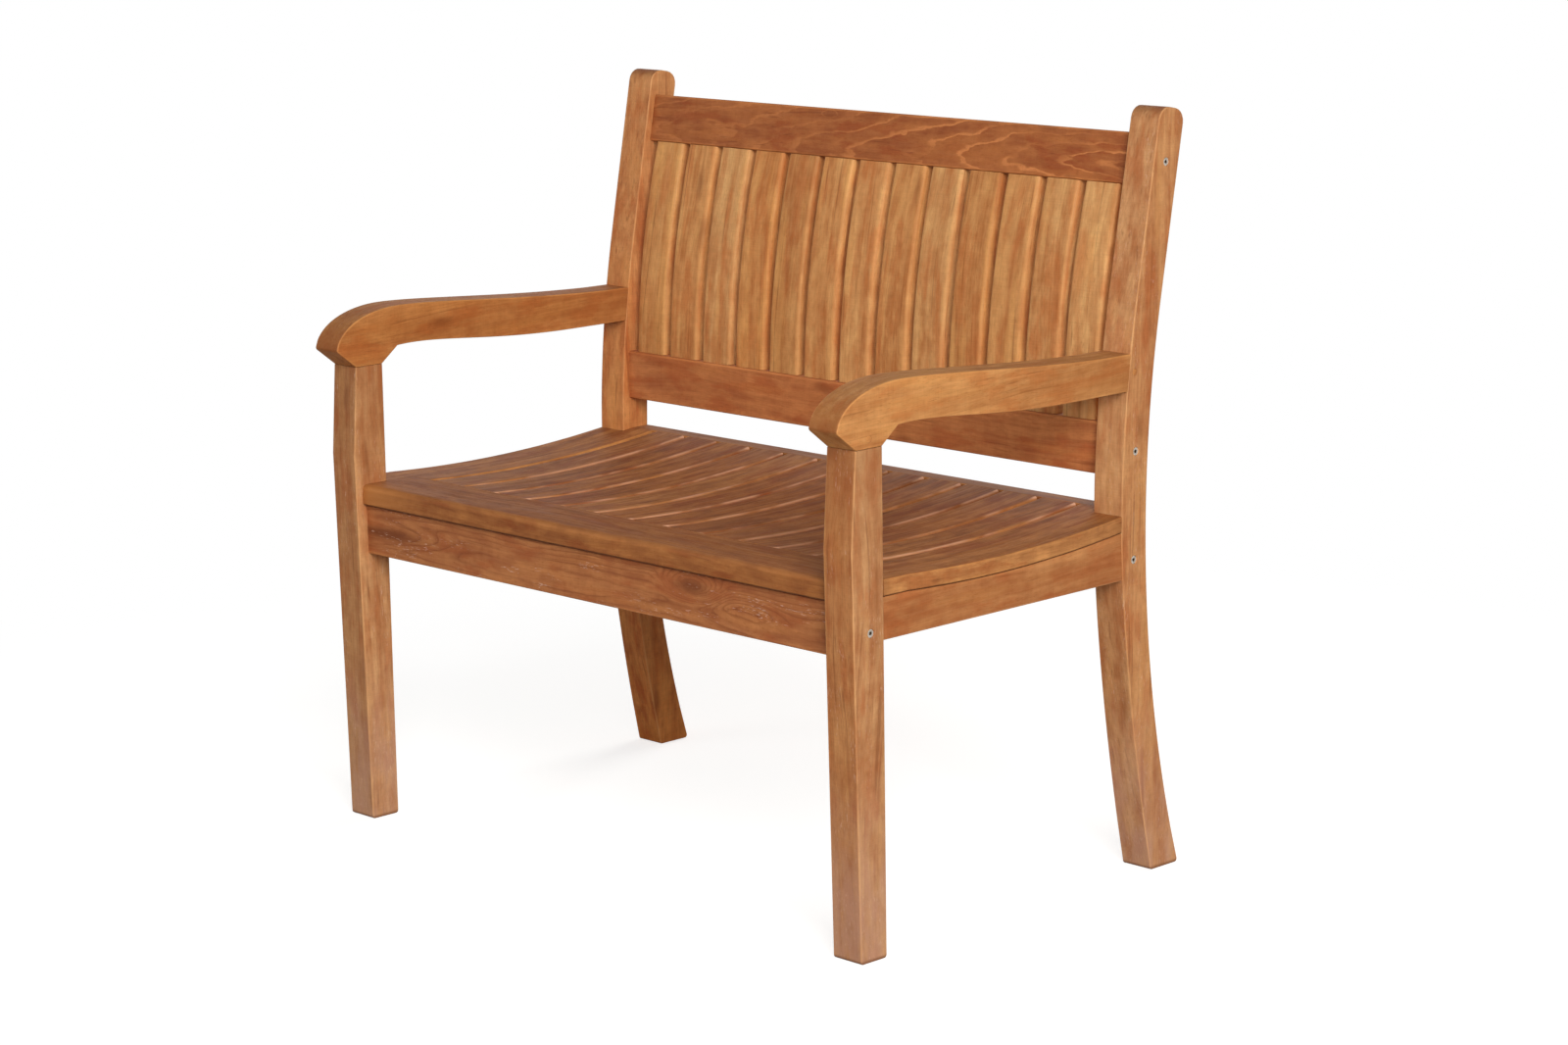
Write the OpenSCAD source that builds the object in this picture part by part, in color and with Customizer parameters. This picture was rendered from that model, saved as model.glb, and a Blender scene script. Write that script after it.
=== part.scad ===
// Two-seat garden bench in solid hardwood: turned-back rear legs, scroll-nosed arms,
// a scooped seat of slats running front to back, and a back of thirteen bowed slats.
// X runs across the bench, Y from front to back, Z up. The origin is on the ground
// under the middle of the bench.

/* [Overall] */
// Width over the legs
bench_w = 956; // [880:2:1100]
// Depth from the front of the front legs to the front of the rear legs
frame_depth = 464; // [430:1:520]
// Height of the seat at its front board
seat_h = 454; // [435:1:475]
// How much higher the seat stands at its back board
seat_rise = 11.5; // [0:0.5:16]
// Height of the arm's underside, where the front leg meets it
arm_h = 610; // [585:1:640]
// Height of the rear legs
back_h = 958.5; // [920:0.5:1010]

/* [Legs] */
// Width of every leg, across the bench
leg_w = 46; // [40:0.5:55]
// Depth of the front legs
front_leg_d = 43; // [38:0.5:55]
// How far the front face of a front leg swells forward
front_leg_swell = 9; // [3:0.5:12]
// Height of the fullest point of that swell
swell_h = 493; // [440:1:560]
// Depth of the rear legs
rear_leg_d = 46; // [40:0.5:55]
// Depth of the rear legs at the foot
rear_foot_d = 53; // [44:0.5:60]
// Height at which the rear legs stand upright
waist_h = 441; // [400:1:460]
// Radius of the sweep along the back of a rear leg
sweep_r = 1520; // [1400:10:1800]
// Lean of the straight upper part of the rear legs, in degrees
recline = 10.7; // [8:0.1:14]
// Slope of a rear leg's front line at the foot, in degrees from upright
foot_splay = 12; // [6:0.5:14]
// Radius of the corners on top of the rear legs
leg_top_r = 17; // [10:0.5:19]

/* [Rails] */
// Thickness of the rails
rail_t = 26; // [20:0.5:30]
// Height of the front rail
front_rail_h = 66; // [50:1:80]
// Height of the rear seat rail
rear_rail_h = 66; // [50:1:80]
// Height of the side rails at the front
side_rail_h = 52; // [44:1:60]
// How far the side rails lie behind the outer faces of the legs
side_rail_inset = 1; // [0:0.5:4]
// Height of the lower back rail
low_rail_h = 66; // [50:1:80]
// Open height between the seat and the lower back rail
low_rail_gap = 42.5; // [30:0.5:65]
// Height of the top back rail
top_rail_h = 64; // [45:1:70]
// How far the middle of the top back rail lies below the top of the rear legs
top_rail_drop = 66.5; // [62:0.5:90]
// Width of the bearer under the middle of the seat
bearer_w = 45; // [30:1:60]
// Thickness of the bearer
bearer_t = 22; // [16:0.5:26]

/* [Seat] */
// Depth of the scoop below a straight line from front to back
scoop = 9.5; // [5:0.5:14]
// Thickness of the front and back boards
board_t = 27; // [24:0.5:32]
// Depth of the front board
front_board_d = 82.5; // [70:0.5:95]
// How far the front board lies behind the front faces of the legs
front_board_inset = 2.5; // [0:0.5:6]
// Radius of the nose along the front board
nose_r = 7; // [4:0.5:13]
// Front edge of the back board, behind the front of the rear legs
back_board_start = 20; // [14:0.5:24]
// How far the back board stands out behind the rear legs
back_board_lip = 4.5; // [0:0.5:10]
// Thickness of the seat slats and end boards
slat_t = 20; // [16:0.5:22]
// Width of the end boards
end_board_w = 84; // [70:1:95]
// Open gap between seat slats
seat_gap = 8; // [5:0.5:12]
// Radius of the long edges of the seat slats
slat_edge_r = 4; // [2:0.5:6]

/* [Back] */
// Thickness of the back slats
back_slat_t = 16; // [12:0.5:18]
// Open gap between back slats
back_gap = 10; // [6:0.5:16]
// Gap between the outermost back slats and the legs
back_end_gap = 13; // [8:0.5:20]
// How far the back slats bow forward between the rails
lumbar = 9; // [4:0.5:16]
// How far the back slats' lower ends stand behind the front of the lower rail
back_slat_set = 4; // [0:0.5:6]
// Radius of the front edges of the back slats
back_edge_r = 5; // [2:0.5:6]

/* [Arms] */
// How far the nose of the arm stands out before the front leg
arm_nose = 31; // [20:0.5:40]
// Height of the arm's crown above its underside at the leg
arm_crown = 74; // [68:0.5:84]
// Distance of the crown behind the front of the leg
crown_y = 75; // [60:1:95]
// Height of the nose's tip above the arm's underside at the leg
nose_rise = 24; // [18:0.5:30]
// How far the slope behind the front leg runs back
throat_run = 27; // [20:0.5:34]
// Height to which that slope rises above the arm's underside at the leg
throat_rise = 21; // [16:0.5:26]
// Height of the arm's top where it meets the rear leg, above its underside at the leg
arm_rear_top = 53; // [48:0.5:60]
// Height of the arm's underside at the rear leg, above its underside at the front leg
arm_rear_low = 7; // [2:0.5:12]

/* [Joints] */
// Length of the rail tenons
tenon_l = 28; // [20:0.5:32]
// Thickness of the rail tenons
tenon_t = 10; // [8:0.5:12]
// Shoulder left above and below a rail tenon
shoulder = 8; // [5:0.5:12]
// Length of the side rail tenons
side_tenon_l = 14; // [10:0.5:15]
// Length of the stub tenons on the seat and back slats
stub_l = 12; // [8:0.5:15]
// Thickness of those stub tenons
stub_t = 8; // [6:0.5:9]
// Length of the tenons between leg and arm
arm_tenon_l = 25; // [18:0.5:30]
// Clearance round a tenon, peg or bolt
fit = 0.3; // [0.2:0.05:0.5]
// Radius of the eased edges on legs, arms and rails
ease_r = 2.5; // [1:0.5:3.5]

/* [Fasteners] */
// Diameter of the rail bolt heads
bolt_head_d = 10; // [7:0.5:12]
// Diameter of the rail bolt shanks
bolt_d = 5; // [4:0.5:6]
// Length of the rail bolts
bolt_l = 60; // [50:1:75]
// Depth at which the bolt heads lie below the leg
bolt_sunk = 1; // [0.5:0.1:2]
// Diameter of the pegs that lock the arms
peg_d = 8; // [6:0.5:9]
// Length of the pegs
peg_l = 37; // [28:1:42]
// Distance of the pegs' middle from the joints that they lock
peg_set = 11; // [8:0.5:13]
// Diameter of the seat screws
screw_d = 4; // [3:0.5:5]
// Length of the seat screws
screw_l = 32; // [28:1:36]

/* [Hidden] */
seat_slats = 12;
back_slats = 13;
$fn = 48;

// Wood tones
leg_tone = "#c4823f";
arm_tone = "#bd7536";
rail_tone = "#a8602f";
seat_tone = "#96572e";
slat_tone = "#c08a4e";
steel_tone = "#9a9a96";

// Facets per quarter turn of an eased edge, per rounded corner and along a curve
ease_steps = 2;
corner_steps = 5;
curve_steps = 14;
knee_steps = 6;
// Degrees by which a bent bar is drawn too long before its ends are cut
spare_turn = 1;
// Reach of a tool that cuts past everything
far = 200;

// Levels and lines shared by several pieces
outer_x = bench_w / 2;
inner_x = outer_x - leg_w;
leg_mid_x = outer_x - leg_w / 2;
rear_back_y = frame_depth + rear_leg_d;
seat_back_h = seat_h + seat_rise;
low_rail_mid = seat_back_h + low_rail_gap + low_rail_h / 2;
top_rail_mid = back_h - top_rail_drop;
front_leg_mid = front_leg_d / 2;
front_board_back = front_board_inset + front_board_d;
back_board_front = frame_depth + back_board_start;
side_rail_x = outer_x - side_rail_inset - rail_t;
side_rail_low = seat_h - slat_t - side_rail_h;
front_rail_mid = seat_h - board_t - front_rail_h / 2;
rear_rail_mid = seat_back_h - board_t - rear_rail_h / 2;
seat_slat_pitch = (bench_w - 2 * end_board_w - seat_gap) / seat_slats;
seat_slat_w = seat_slat_pitch - seat_gap;
back_slat_w = (2 * inner_x - 2 * back_end_gap - (back_slats - 1) * back_gap) / back_slats;

// ---- Geometry helpers ----

function numbered(stem, i) = str(stem, i < 10 ? "0" : "", i);
function unit(v) = v / norm(v);
function left_of(v) = [-v[1], v[0]];
function turn_of(v) = (atan2(v[1], v[0]) + 360) % 360;

// Radius and centre of the arc from p to q that sags by s to the right of that line
function arc_r(p, q, s) = (norm(q - p) ^ 2 / 4 + s ^ 2) / (2 * s);
function arc_c(p, q, s) = (p + q) / 2 + left_of(unit(q - p)) * (arc_r(p, q, s) - s);

// Points along a circle of radius r round c, from angle a to angle b
function circle_points(c, r, a, b, n) =
    [for (i = [0:n]) let (t = a + (b - a) * i / n) c + r * [cos(t), sin(t)]];

// Points along a cubic curve from p to s, drawn towards q and r
function curve(p, q, r, s, n) =
    [for (i = [0:n]) let (t = i / n, u = 1 - t)
        u ^ 3 * p + 3 * u * u * t * q + 3 * u * t * t * r + t ^ 3 * s];

// The corner q between p and s, rounded to radius r
function corner(p, q, s, r) =
    let (a = unit(p - q), b = unit(s - q), half = acos(a * b) / 2)
    let (c = q + unit(a + b) * r / sin(half), start = q + a * r / tan(half) - c)
    let (turn = cross(a, b) > 0 ? -1 : 1, sweep = turn * (180 - 2 * half))
    [for (i = [0:corner_steps]) let (t = sweep * i / corner_steps)
        c + [start[0] * cos(t) - start[1] * sin(t), start[0] * sin(t) + start[1] * cos(t)]];

// A rectangle with its corners rounded, each to its own radius, from the low left one
function rounded(low, high, radii) =
    let (p = [low, [high[0], low[1]], high, [low[0], high[1]]])
    [for (i = [0:3]) each corner(p[(i + 3) % 4], p[i], p[(i + 1) % 4], radii[i])];

// An outline that runs round to the left, moved inwards by d
function inset(points, d) =
    let (n = len(points))
    [for (i = [0:n - 1])
        let (a = left_of(unit(points[i] - points[(i + n - 1) % n])))
        let (b = left_of(unit(points[(i + 1) % n] - points[i])))
        points[i] + (a + b) * d / (1 + a * b)];

// Whether q lies in the triangle a b c, which runs round to the left
function in_triangle(q, a, b, c) =
    cross(b - a, q - a) >= 0 && cross(c - b, q - b) >= 0 && cross(a - c, q - c) >= 0;

// Triangles that fill an outline given as places in a list of points. Each step cuts
// off the corner with the shortest chord that holds no other point.
function triangles(points, ring) =
    let (n = len(ring))
    n == 3 ? [ring] :
    let (cuts = [for (i = [0:n - 1])
        let (a = points[ring[(i + n - 1) % n]], b = points[ring[i]], c = points[ring[(i + 1) % n]])
        let (held = cross(b - a, c - b) <= 0 ? [i] : [for (k = [2:n - 2])
            if (in_triangle(points[ring[(i + k) % n]], a, b, c)) k])
        if (len(held) == 0) [norm(c - a), i]])
    let (shortest = min([for (cut = cuts) cut[0]]))
    let (i = [for (cut = cuts) if (cut[0] == shortest) cut[1]][0])
    concat([[ring[(i + n - 1) % n], ring[i], ring[(i + 1) % n]]],
        triangles(points, [for (k = [0:n - 1]) if (k != i) ring[k]]));

// A side outline in Y and Z, drawn across the bench from x
module across(x, w) {
    translate([x, 0, 0]) rotate([90, 0, 90]) linear_extrude(w) children();
}

// A side outline drawn across the bench from x, with its edges eased to radius r
module eased(points, x, w, r) {
    n = len(points);
    rise = [for (k = [0:ease_steps]) 90 * k / ease_steps];
    near = [for (a = rise) [r * (1 - cos(a)), r * (1 - sin(a))]];
    layers = concat(near, [for (k = [ease_steps:-1:0]) [w - near[k][0], near[k][1]]]);
    m = len(layers);
    cap = triangles(inset(points, r), [for (i = [0:n - 1]) i]);
    polyhedron(
        [for (l = layers) each [for (p = inset(points, l[1])) [x + l[0], p[0], p[1]]]],
        concat(
            cap,
            [for (k = [0:m - 2]) each [for (i = [0:n - 1])
                let (j = (i + 1) % n)
                [k * n + i, (k + 1) * n + i, (k + 1) * n + j, k * n + j]]],
            [for (t = cap) [for (i = [2:-1:0]) (m - 1) * n + t[i]]]));
}

// A bar bent round the centre c from a little before p to a little past q, with the
// section given as distance from the centre and position across the bench
module bent(c, p, q) {
    a = turn_of(p - c) - spare_turn;
    b = turn_of(q - c) + spare_turn;
    translate([0, c[0], c[1]]) rotate([90, 0, 90]) rotate([0, 0, a])
        rotate_extrude(angle = b - a, $fn = 720) children();
}

// A round bar across the bench, from x inwards by l
module cross_bar(x, y, z, d, l) {
    translate([x, y, z]) rotate([0, -90, 0]) cylinder(h = l, d = d);
}

// A block given by its middle, its size and its lean in degrees
module block(mid, size, lean) {
    translate(mid) rotate([-lean, 0, 0]) translate(-size / 2) cube(size);
}

module on_side(side) {
    if (side > 0) children();
    else mirror([1, 0, 0]) children();
}

// Everything is drawn with Y = 0 at the front legs, then set over the origin
module placed() {
    front = min([for (p = arm_outline()) p[0]]);
    back = max([for (p = rear_leg_outline()) p[0]]);
    translate([0, -(front + back) / 2, 0]) children();
}

// ---- Legs ----

// Centre of the rear leg's sweep
sweep_c = [rear_back_y + sweep_r, waist_h];
lean_dir = [sin(recline), cos(recline)];
// Top ends of the two sweeps, where the straight upper part begins
back_knee = sweep_c + sweep_r * [-cos(recline), sin(recline)];
front_knee = sweep_c + (sweep_r + rear_leg_d) * [-cos(recline), sin(recline)];
// How far the foot line holds its direction below the waist and above the foot
shin_pull = waist_h * 0.1;
foot_pull = waist_h * 0.54;
// Radius of the corners on the soles of the legs
sole_r = ease_r * 1.6;
// Height of the square front corner on top, before rounding brings it down to back_h
leg_corner_h = back_h + leg_top_r * (cos(recline) + sin(recline) - 1);
leg_corner = front_knee + lean_dir * (leg_corner_h - front_knee[1]) / cos(recline);
rear_heel = [sweep_c[0] - sqrt(sweep_r ^ 2 - waist_h ^ 2), 0];
rear_toe = rear_heel - [rear_foot_d, 0];

function rear_front_y(z) = z > front_knee[1]
    ? front_knee[0] + (z - front_knee[1]) * tan(recline)
    : sweep_c[0] - sqrt((sweep_r + rear_leg_d) ^ 2 - (z - waist_h) ^ 2);
function leg_lean(z) = z > front_knee[1] ? recline : asin((z - waist_h) / sweep_r);
function rear_mid_y(z) = rear_front_y(z) + rear_leg_d / cos(leg_lean(z)) / 2;

// The front line of a rear leg, from its knee down through the waist to the toe
function leg_front_line() = concat(
    circle_points(sweep_c, sweep_r + rear_leg_d, 180 - recline, 180, knee_steps),
    [for (p = curve([frame_depth, waist_h], [frame_depth, waist_h - shin_pull],
        rear_toe + foot_pull * [-tan(foot_splay), 1], rear_toe, curve_steps))
        if (p[1] < waist_h) p]);

function rear_leg_outline() =
    let (front = leg_front_line(), n = len(front))
    let (top_back = leg_corner + rear_leg_d * [lean_dir[1], -lean_dir[0]])
    let (back = circle_points(sweep_c, sweep_r, 180 + asin(waist_h / sweep_r),
        180 - recline, curve_steps + 4))
    concat(
        corner(front[n - 2], rear_toe, rear_heel, sole_r),
        corner(rear_toe, rear_heel, back[1], sole_r),
        [for (i = [1:len(back) - 1]) back[i]],
        corner(back_knee, top_back, leg_corner, leg_top_r),
        corner(top_back, leg_corner, front_knee, leg_top_r),
        [for (i = [0:n - 2]) front[i]]);

// The space behind the front line of the rear legs, grown forward by play
module leg_front(play) {
    polygon(concat(
        [for (p = concat([leg_corner], leg_front_line())) p - [play, 0]],
        [[rear_toe[0] + far, 0], [leg_corner[0] + far, leg_corner[1]]]));
}

function front_leg_outline() =
    let (top = arm_h + ease_r)
    let (toe = [0, 0], heel = [front_leg_d, 0])
    concat(
        corner([-front_leg_swell, swell_h], toe, heel, sole_r),
        corner(toe, heel, [front_leg_d, top], sole_r),
        [[front_leg_d, top], [0, top], [-front_leg_swell, swell_h]]);

// The depth left closed behind a peg in its hole
peg_hole_l = peg_l + 1;

// Sockets in a leg for a rail tenon and its bolt, at y and z with the rail's lean
module rail_socket(y, z, h, lean) {
    size = [tenon_l + far, tenon_t, h - 2 * shoulder] + [fit, fit, fit];
    block([inner_x + tenon_l + fit / 2 - size[0] / 2, y, z], size, lean);
    cross_bar(outer_x + 1, y, z, bolt_head_d + fit, bolt_sunk + bolt_head_d / 2 + 1);
    cross_bar(outer_x, y, z, bolt_d + fit, leg_w);
}

module side_socket(y, dir) {
    h = side_rail_h - 2 * shoulder + fit;
    l = side_tenon_l + fit;
    translate([side_rail_x + (rail_t - tenon_t - fit) / 2, dir > 0 ? y : y - l,
        side_rail_low + shoulder - fit / 2])
        cube([tenon_t + fit, l, h]);
}

module front_leg(side) {
    color(leg_tone) placed() on_side(side) {
        difference() {
            eased(front_leg_outline(), inner_x, leg_w, ease_r);
            translate([0, -far / 2, arm_h]) cube([bench_w, far, far]);
            rail_socket(front_leg_mid, front_rail_mid, front_rail_h, 0);
            side_socket(front_leg_d, -1);
        }
        difference() {
            block([leg_mid_x, front_leg_mid, arm_h + arm_tenon_l / 2],
                [leg_w / 2, front_leg_d / 2, arm_tenon_l], 0);
            cross_bar(outer_x, front_leg_mid, arm_h + peg_set, peg_d + fit, peg_hole_l);
        }
    }
}

module rear_leg(side) {
    color(leg_tone) placed() on_side(side) difference() {
        eased(rear_leg_outline(), inner_x, leg_w, ease_r);
        rail_socket(rear_mid_y(rear_rail_mid), rear_rail_mid, rear_rail_h, 0);
        rail_socket(rear_mid_y(low_rail_mid), low_rail_mid, low_rail_h, 0);
        rail_socket(rear_mid_y(top_rail_mid), top_rail_mid, top_rail_h, recline);
        side_socket(frame_depth, 1);
        arm_tenon(fit);
        cross_bar(outer_x, arm_peg_y, arm_end_mid, peg_d + fit, peg_hole_l);
    }
}

// ---- Rails ----

// A rail between two legs, with eased edges, a tenon at each end and the bolt's hole
module rail(y, z, h, lean) {
    translate([0, y, z]) rotate([-lean, 0, 0]) difference() {
        union() {
            across(-inner_x, 2 * inner_x)
                polygon(rounded([-rail_t, -h] / 2, [rail_t, h] / 2, [for (i = [0:3]) ease_r]));
            block([0, 0, 0], [2 * (inner_x + tenon_l), tenon_t, h - 2 * shoulder], 0);
        }
        for (side = [-1, 1])
            on_side(side) cross_bar(outer_x, 0, 0, bolt_d + fit, bolt_l + fit);
    }
}

module front_rail() {
    color(rail_tone) placed() rail(front_leg_mid, front_rail_mid, front_rail_h, 0);
}

module rear_seat_rail() {
    color(rail_tone) placed() rail(rear_mid_y(rear_rail_mid), rear_rail_mid, rear_rail_h, 0);
}

module lower_back_rail() {
    color(rail_tone) placed() difference() {
        rail(rear_mid_y(low_rail_mid), low_rail_mid, low_rail_h, 0);
        for (i = [1:back_slats]) back_stub(i, -1, fit);
    }
}

module top_back_rail() {
    color(rail_tone) placed() difference() {
        rail(rear_mid_y(top_rail_mid), top_rail_mid, top_rail_h, recline);
        for (i = [1:back_slats]) back_stub(i, 1, fit);
    }
}

// The side rail's top follows the underside of the end board
module side_rail(side) {
    start = front_leg_d;
    end = frame_depth + side_tenon_l;
    top = seat_line(slat_t + fit, start, end);
    color(rail_tone) placed() on_side(side) difference() {
        union() {
            difference() {
                across(side_rail_x, rail_t)
                    polygon(concat([[start, side_rail_low], [end, side_rail_low]], top));
                across(side_rail_x - 1, rail_t + 2) leg_front(0);
            }
            translate([side_rail_x + (rail_t - tenon_t) / 2, start - side_tenon_l,
                side_rail_low + shoulder])
                cube([tenon_t, end - start + side_tenon_l, side_rail_h - 2 * shoulder]);
        }
        bearer_end(fit);
    }
}

// ---- Seat ----

seat_p = [front_board_back, seat_h];
seat_q = [back_board_front, seat_back_h];
seat_c = arc_c(seat_p, seat_q, scoop);
seat_r = arc_r(seat_p, seat_q, scoop);

// Height of the seat's surface at y
function seat_z(y) = y < front_board_back ? seat_h : seat_c[1] - sqrt(seat_r ^ 2 - (y - seat_c[0]) ^ 2);

// The line d below the seat's surface, from the back at y = b to the front at y = a
function seat_line(d, a, b) =
    let (n = curve_steps, lead = a < front_board_back)
    let (start = lead ? front_board_back : a)
    concat([for (i = [0:n]) let (y = b + (start - b) * i / n) [y, seat_z(y) - d]],
        lead ? [[a, seat_h - d]] : []);

function slat_x(i) = (i - (seat_slats + 1) / 2) * seat_slat_pitch;

// The stub tenons at the two ends of a seat slat or an end board
module seat_stubs(x, w, play) {
    size = [w, stub_l, stub_t] + [play, play, play];
    for (end = [[front_board_back - stub_l / 2, seat_h], [back_board_front + stub_l / 2, seat_back_h]])
        block([x, end[0], end[1] - slat_t / 2], size, 0);
}

module all_seat_stubs(play) {
    for (i = [1:seat_slats]) seat_stubs(slat_x(i), seat_slat_w - 2 * slat_edge_r, play);
    for (side = [-1, 1]) on_side(side)
        seat_stubs(end_stub_x, end_stub_w, play);
}

// The end board's stubs stay inside the legs
end_stub_w = end_board_w - leg_w - 2 * slat_edge_r;
end_stub_x = outer_x - end_board_w + slat_edge_r + end_stub_w / 2;

module seat_slat(i) {
    color(seat_tone) placed() {
        difference() {
            bent(seat_c, seat_p, seat_q) polygon(rounded(
                [seat_r, slat_x(i) - seat_slat_w / 2],
                [seat_r + slat_t, slat_x(i) + seat_slat_w / 2],
                [slat_edge_r, ease_r, ease_r, slat_edge_r]));
            translate([-bench_w, front_board_back - far, 0]) cube([2 * bench_w, far, back_h]);
            translate([-bench_w, back_board_front, 0]) cube([2 * bench_w, far, back_h]);
            seat_screw(slat_x(i), fit);
        }
        seat_stubs(slat_x(i), seat_slat_w - 2 * slat_edge_r, 0);
    }
}

// An end board covers the side rail and is notched round both legs
module seat_end_board(side) {
    top = seat_line(0, front_leg_d - slat_edge_r, back_board_front + slat_edge_r);
    low = seat_line(slat_t, front_leg_d - slat_edge_r, back_board_front + slat_edge_r);
    n = len(low);
    color(seat_tone) placed() on_side(side) {
        difference() {
            eased(concat([for (k = [n - 1:-1:0]) low[k]], top),
                outer_x - end_board_w, end_board_w, slat_edge_r * 0.75);
            translate([0, -far + front_leg_d + fit, 0]) cube([bench_w, far, back_h]);
            translate([0, -far + front_board_back, 0]) cube([inner_x + fit, far, back_h]);
            translate([0, back_board_front, 0]) cube([bench_w, far, back_h]);
            across(inner_x - fit, leg_w + 2) leg_front(fit);
            seat_screw(end_screw_x, fit);
        }
        seat_stubs(end_stub_x, end_stub_w, 0);
    }
}

module seat_front_board() {
    low = [front_board_inset, seat_h - board_t];
    high = [front_board_back, seat_h];
    color(seat_tone) placed() difference() {
        across(-inner_x + fit, 2 * (inner_x - fit))
            polygon(rounded(low, high, [ease_r, ease_r, ease_r / 2, nose_r]));
        all_seat_stubs(fit);
    }
}

module seat_back_board() {
    low = [back_board_front, seat_back_h - board_t];
    high = [rear_back_y + back_board_lip, seat_back_h];
    color(seat_tone) placed() difference() {
        across(-inner_x + fit, 2 * (inner_x - fit))
            polygon(rounded(low, high, [ease_r, ease_r, ease_r * 2, ease_r / 2]));
        all_seat_stubs(fit);
    }
}

// The bearer crosses under the middle of the seat, just clear of the slats
bearer_y = (front_board_back + back_board_front) / 2;
bearer_top = min([for (y = [-1, 0, 1]) seat_z(bearer_y + y * bearer_w / 2)]) - slat_t - fit;
bearer_tenon = [rail_t / 2, bearer_w - 2 * shoulder, bearer_t - shoulder];

module bearer_end(play) {
    size = bearer_tenon + [play, play, play];
    block([side_rail_x + bearer_tenon[0] / 2, bearer_y, bearer_top - bearer_t / 2], size, 0);
}

module seat_bearer() {
    color(rail_tone) placed() difference() {
        union() {
            block([0, bearer_y, bearer_top - bearer_t / 2],
                [2 * side_rail_x, bearer_w, bearer_t], 0);
            for (side = [-1, 1]) on_side(side) bearer_end(0);
        }
        for (x = screw_places()) seat_screw(x, fit);
    }
}

// ---- Back ----

back_bottom = low_rail_mid + low_rail_h / 2;
back_top = top_rail_mid - top_rail_h / 2 * cos(recline);
// Front edges of the slats' ends: set into the lower rail, flush with the top one
back_p = [rear_mid_y(top_rail_mid) - rail_t / 2 / cos(recline)
    - top_rail_h / 2 * sin(recline), back_top];
back_q = [rear_mid_y(low_rail_mid) - rail_t / 2 + back_slat_set, back_bottom];
back_c = arc_c(back_p, back_q, lumbar);
back_r = arc_r(back_p, back_q, lumbar);

function back_slat_x(i) = (i - (back_slats + 1) / 2) * (back_slat_w + back_gap);

// How far a stub tenon's block reaches back into the slat's leaning end
stub_root = 1;

// The stub tenon at the top (end = 1) or the bottom (end = -1) of a back slat
module back_stub(i, end, play) {
    edge = end > 0 ? back_p : back_q;
    front = unit(edge - back_c);
    mid = edge - front * back_slat_t / 2 - end * left_of(front) * stub_l / 2;
    block([back_slat_x(i), mid[0], mid[1]],
        [back_slat_w - 2 * back_edge_r, stub_t, stub_l] + [play, play, play + stub_root],
        180 - turn_of(front));
}

module back_slat(i) {
    x = back_slat_x(i);
    color(slat_tone) placed() {
        intersection() {
            bent(back_c, back_p, back_q) polygon(rounded(
                [back_r - back_slat_t, x - back_slat_w / 2],
                [back_r, x + back_slat_w / 2],
                [ease_r, back_edge_r, back_edge_r, ease_r]));
            back_field();
        }
        for (end = [-1, 1]) back_stub(i, end, 0);
    }
}

// The room between the lower rail and the top rail, whose underside leans
module back_field() {
    slope = [lean_dir[1], -lean_dir[0]];
    across(-outer_x, bench_w) polygon([
        [0, back_bottom], [back_h, back_bottom],
        back_p + slope * far, back_p - slope * far]);
}

// ---- Arms ----

arm_end_mid = arm_h + (arm_rear_low + arm_rear_top) / 2;
arm_peg_y = rear_front_y(arm_end_mid) + peg_set;

// How far the arm's curves hold their direction from the rear leg, the crown and the nose
arm_pull = frame_depth / 3;
crown_pull = (crown_y + arm_nose) * 0.44;
nose_pull = [7, (arm_crown - nose_rise) * 0.7];
nose_steps = curve_steps - 4;

// The nose droops to a chamfer before the leg, and a second one rises behind the leg
function arm_outline() =
    let (end = frame_depth + rear_leg_d, top = arm_h + arm_crown)
    let (rear_top = [rear_front_y(arm_h + arm_rear_top), arm_h + arm_rear_top])
    let (rear_low = [rear_top[0] - arm_pull * 2 / 3, arm_h + arm_rear_low])
    let (crown = [crown_y, top], nose = [-arm_nose, arm_h + nose_rise])
    let (throat = [front_leg_d + throat_run, arm_h + throat_rise])
    let (over = curve(rear_top, rear_top - [arm_pull, 0], crown + [arm_pull / 2, 0], crown,
        curve_steps))
    let (front = curve(crown, crown - [crown_pull, 0], nose + nose_pull, nose, nose_steps))
    let (under = curve(throat, throat + [arm_pull / 2, throat_rise / 4],
        rear_low - [arm_pull, 0], rear_low, curve_steps))
    concat(
        [[end, rear_top[1]]],
        over,
        [for (i = [1:nose_steps - 1]) front[i]],
        corner(front[nose_steps - 1], nose, [0, arm_h], sole_r),
        [[0, arm_h], [front_leg_d, arm_h]],
        under,
        [[end, rear_low[1]]]);

module arm_tenon(play) {
    h = (arm_rear_top - arm_rear_low) / 2;
    start = rear_front_y(arm_end_mid) - 5;
    translate([leg_mid_x - (leg_w / 4 + play) / 2, start, arm_end_mid - (h + play) / 2])
        cube([leg_w / 4 + play, arm_tenon_l + play + 5, h + play]);
}

module armrest(side) {
    color(arm_tone) placed() on_side(side) {
        difference() {
            eased(arm_outline(), inner_x, leg_w, ease_r);
            across(inner_x - 1, leg_w + 2) leg_front(0);
            block([leg_mid_x, front_leg_mid, arm_h + arm_tenon_l / 2],
                [leg_w / 2, front_leg_d / 2, arm_tenon_l] + [fit, fit, fit], 0);
            cross_bar(outer_x, front_leg_mid, arm_h + peg_set, peg_d + fit, peg_hole_l);
        }
        difference() {
            arm_tenon(0);
            cross_bar(outer_x, arm_peg_y, arm_end_mid, peg_d + fit, peg_hole_l);
        }
    }
}

// ---- Fasteners ----

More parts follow.
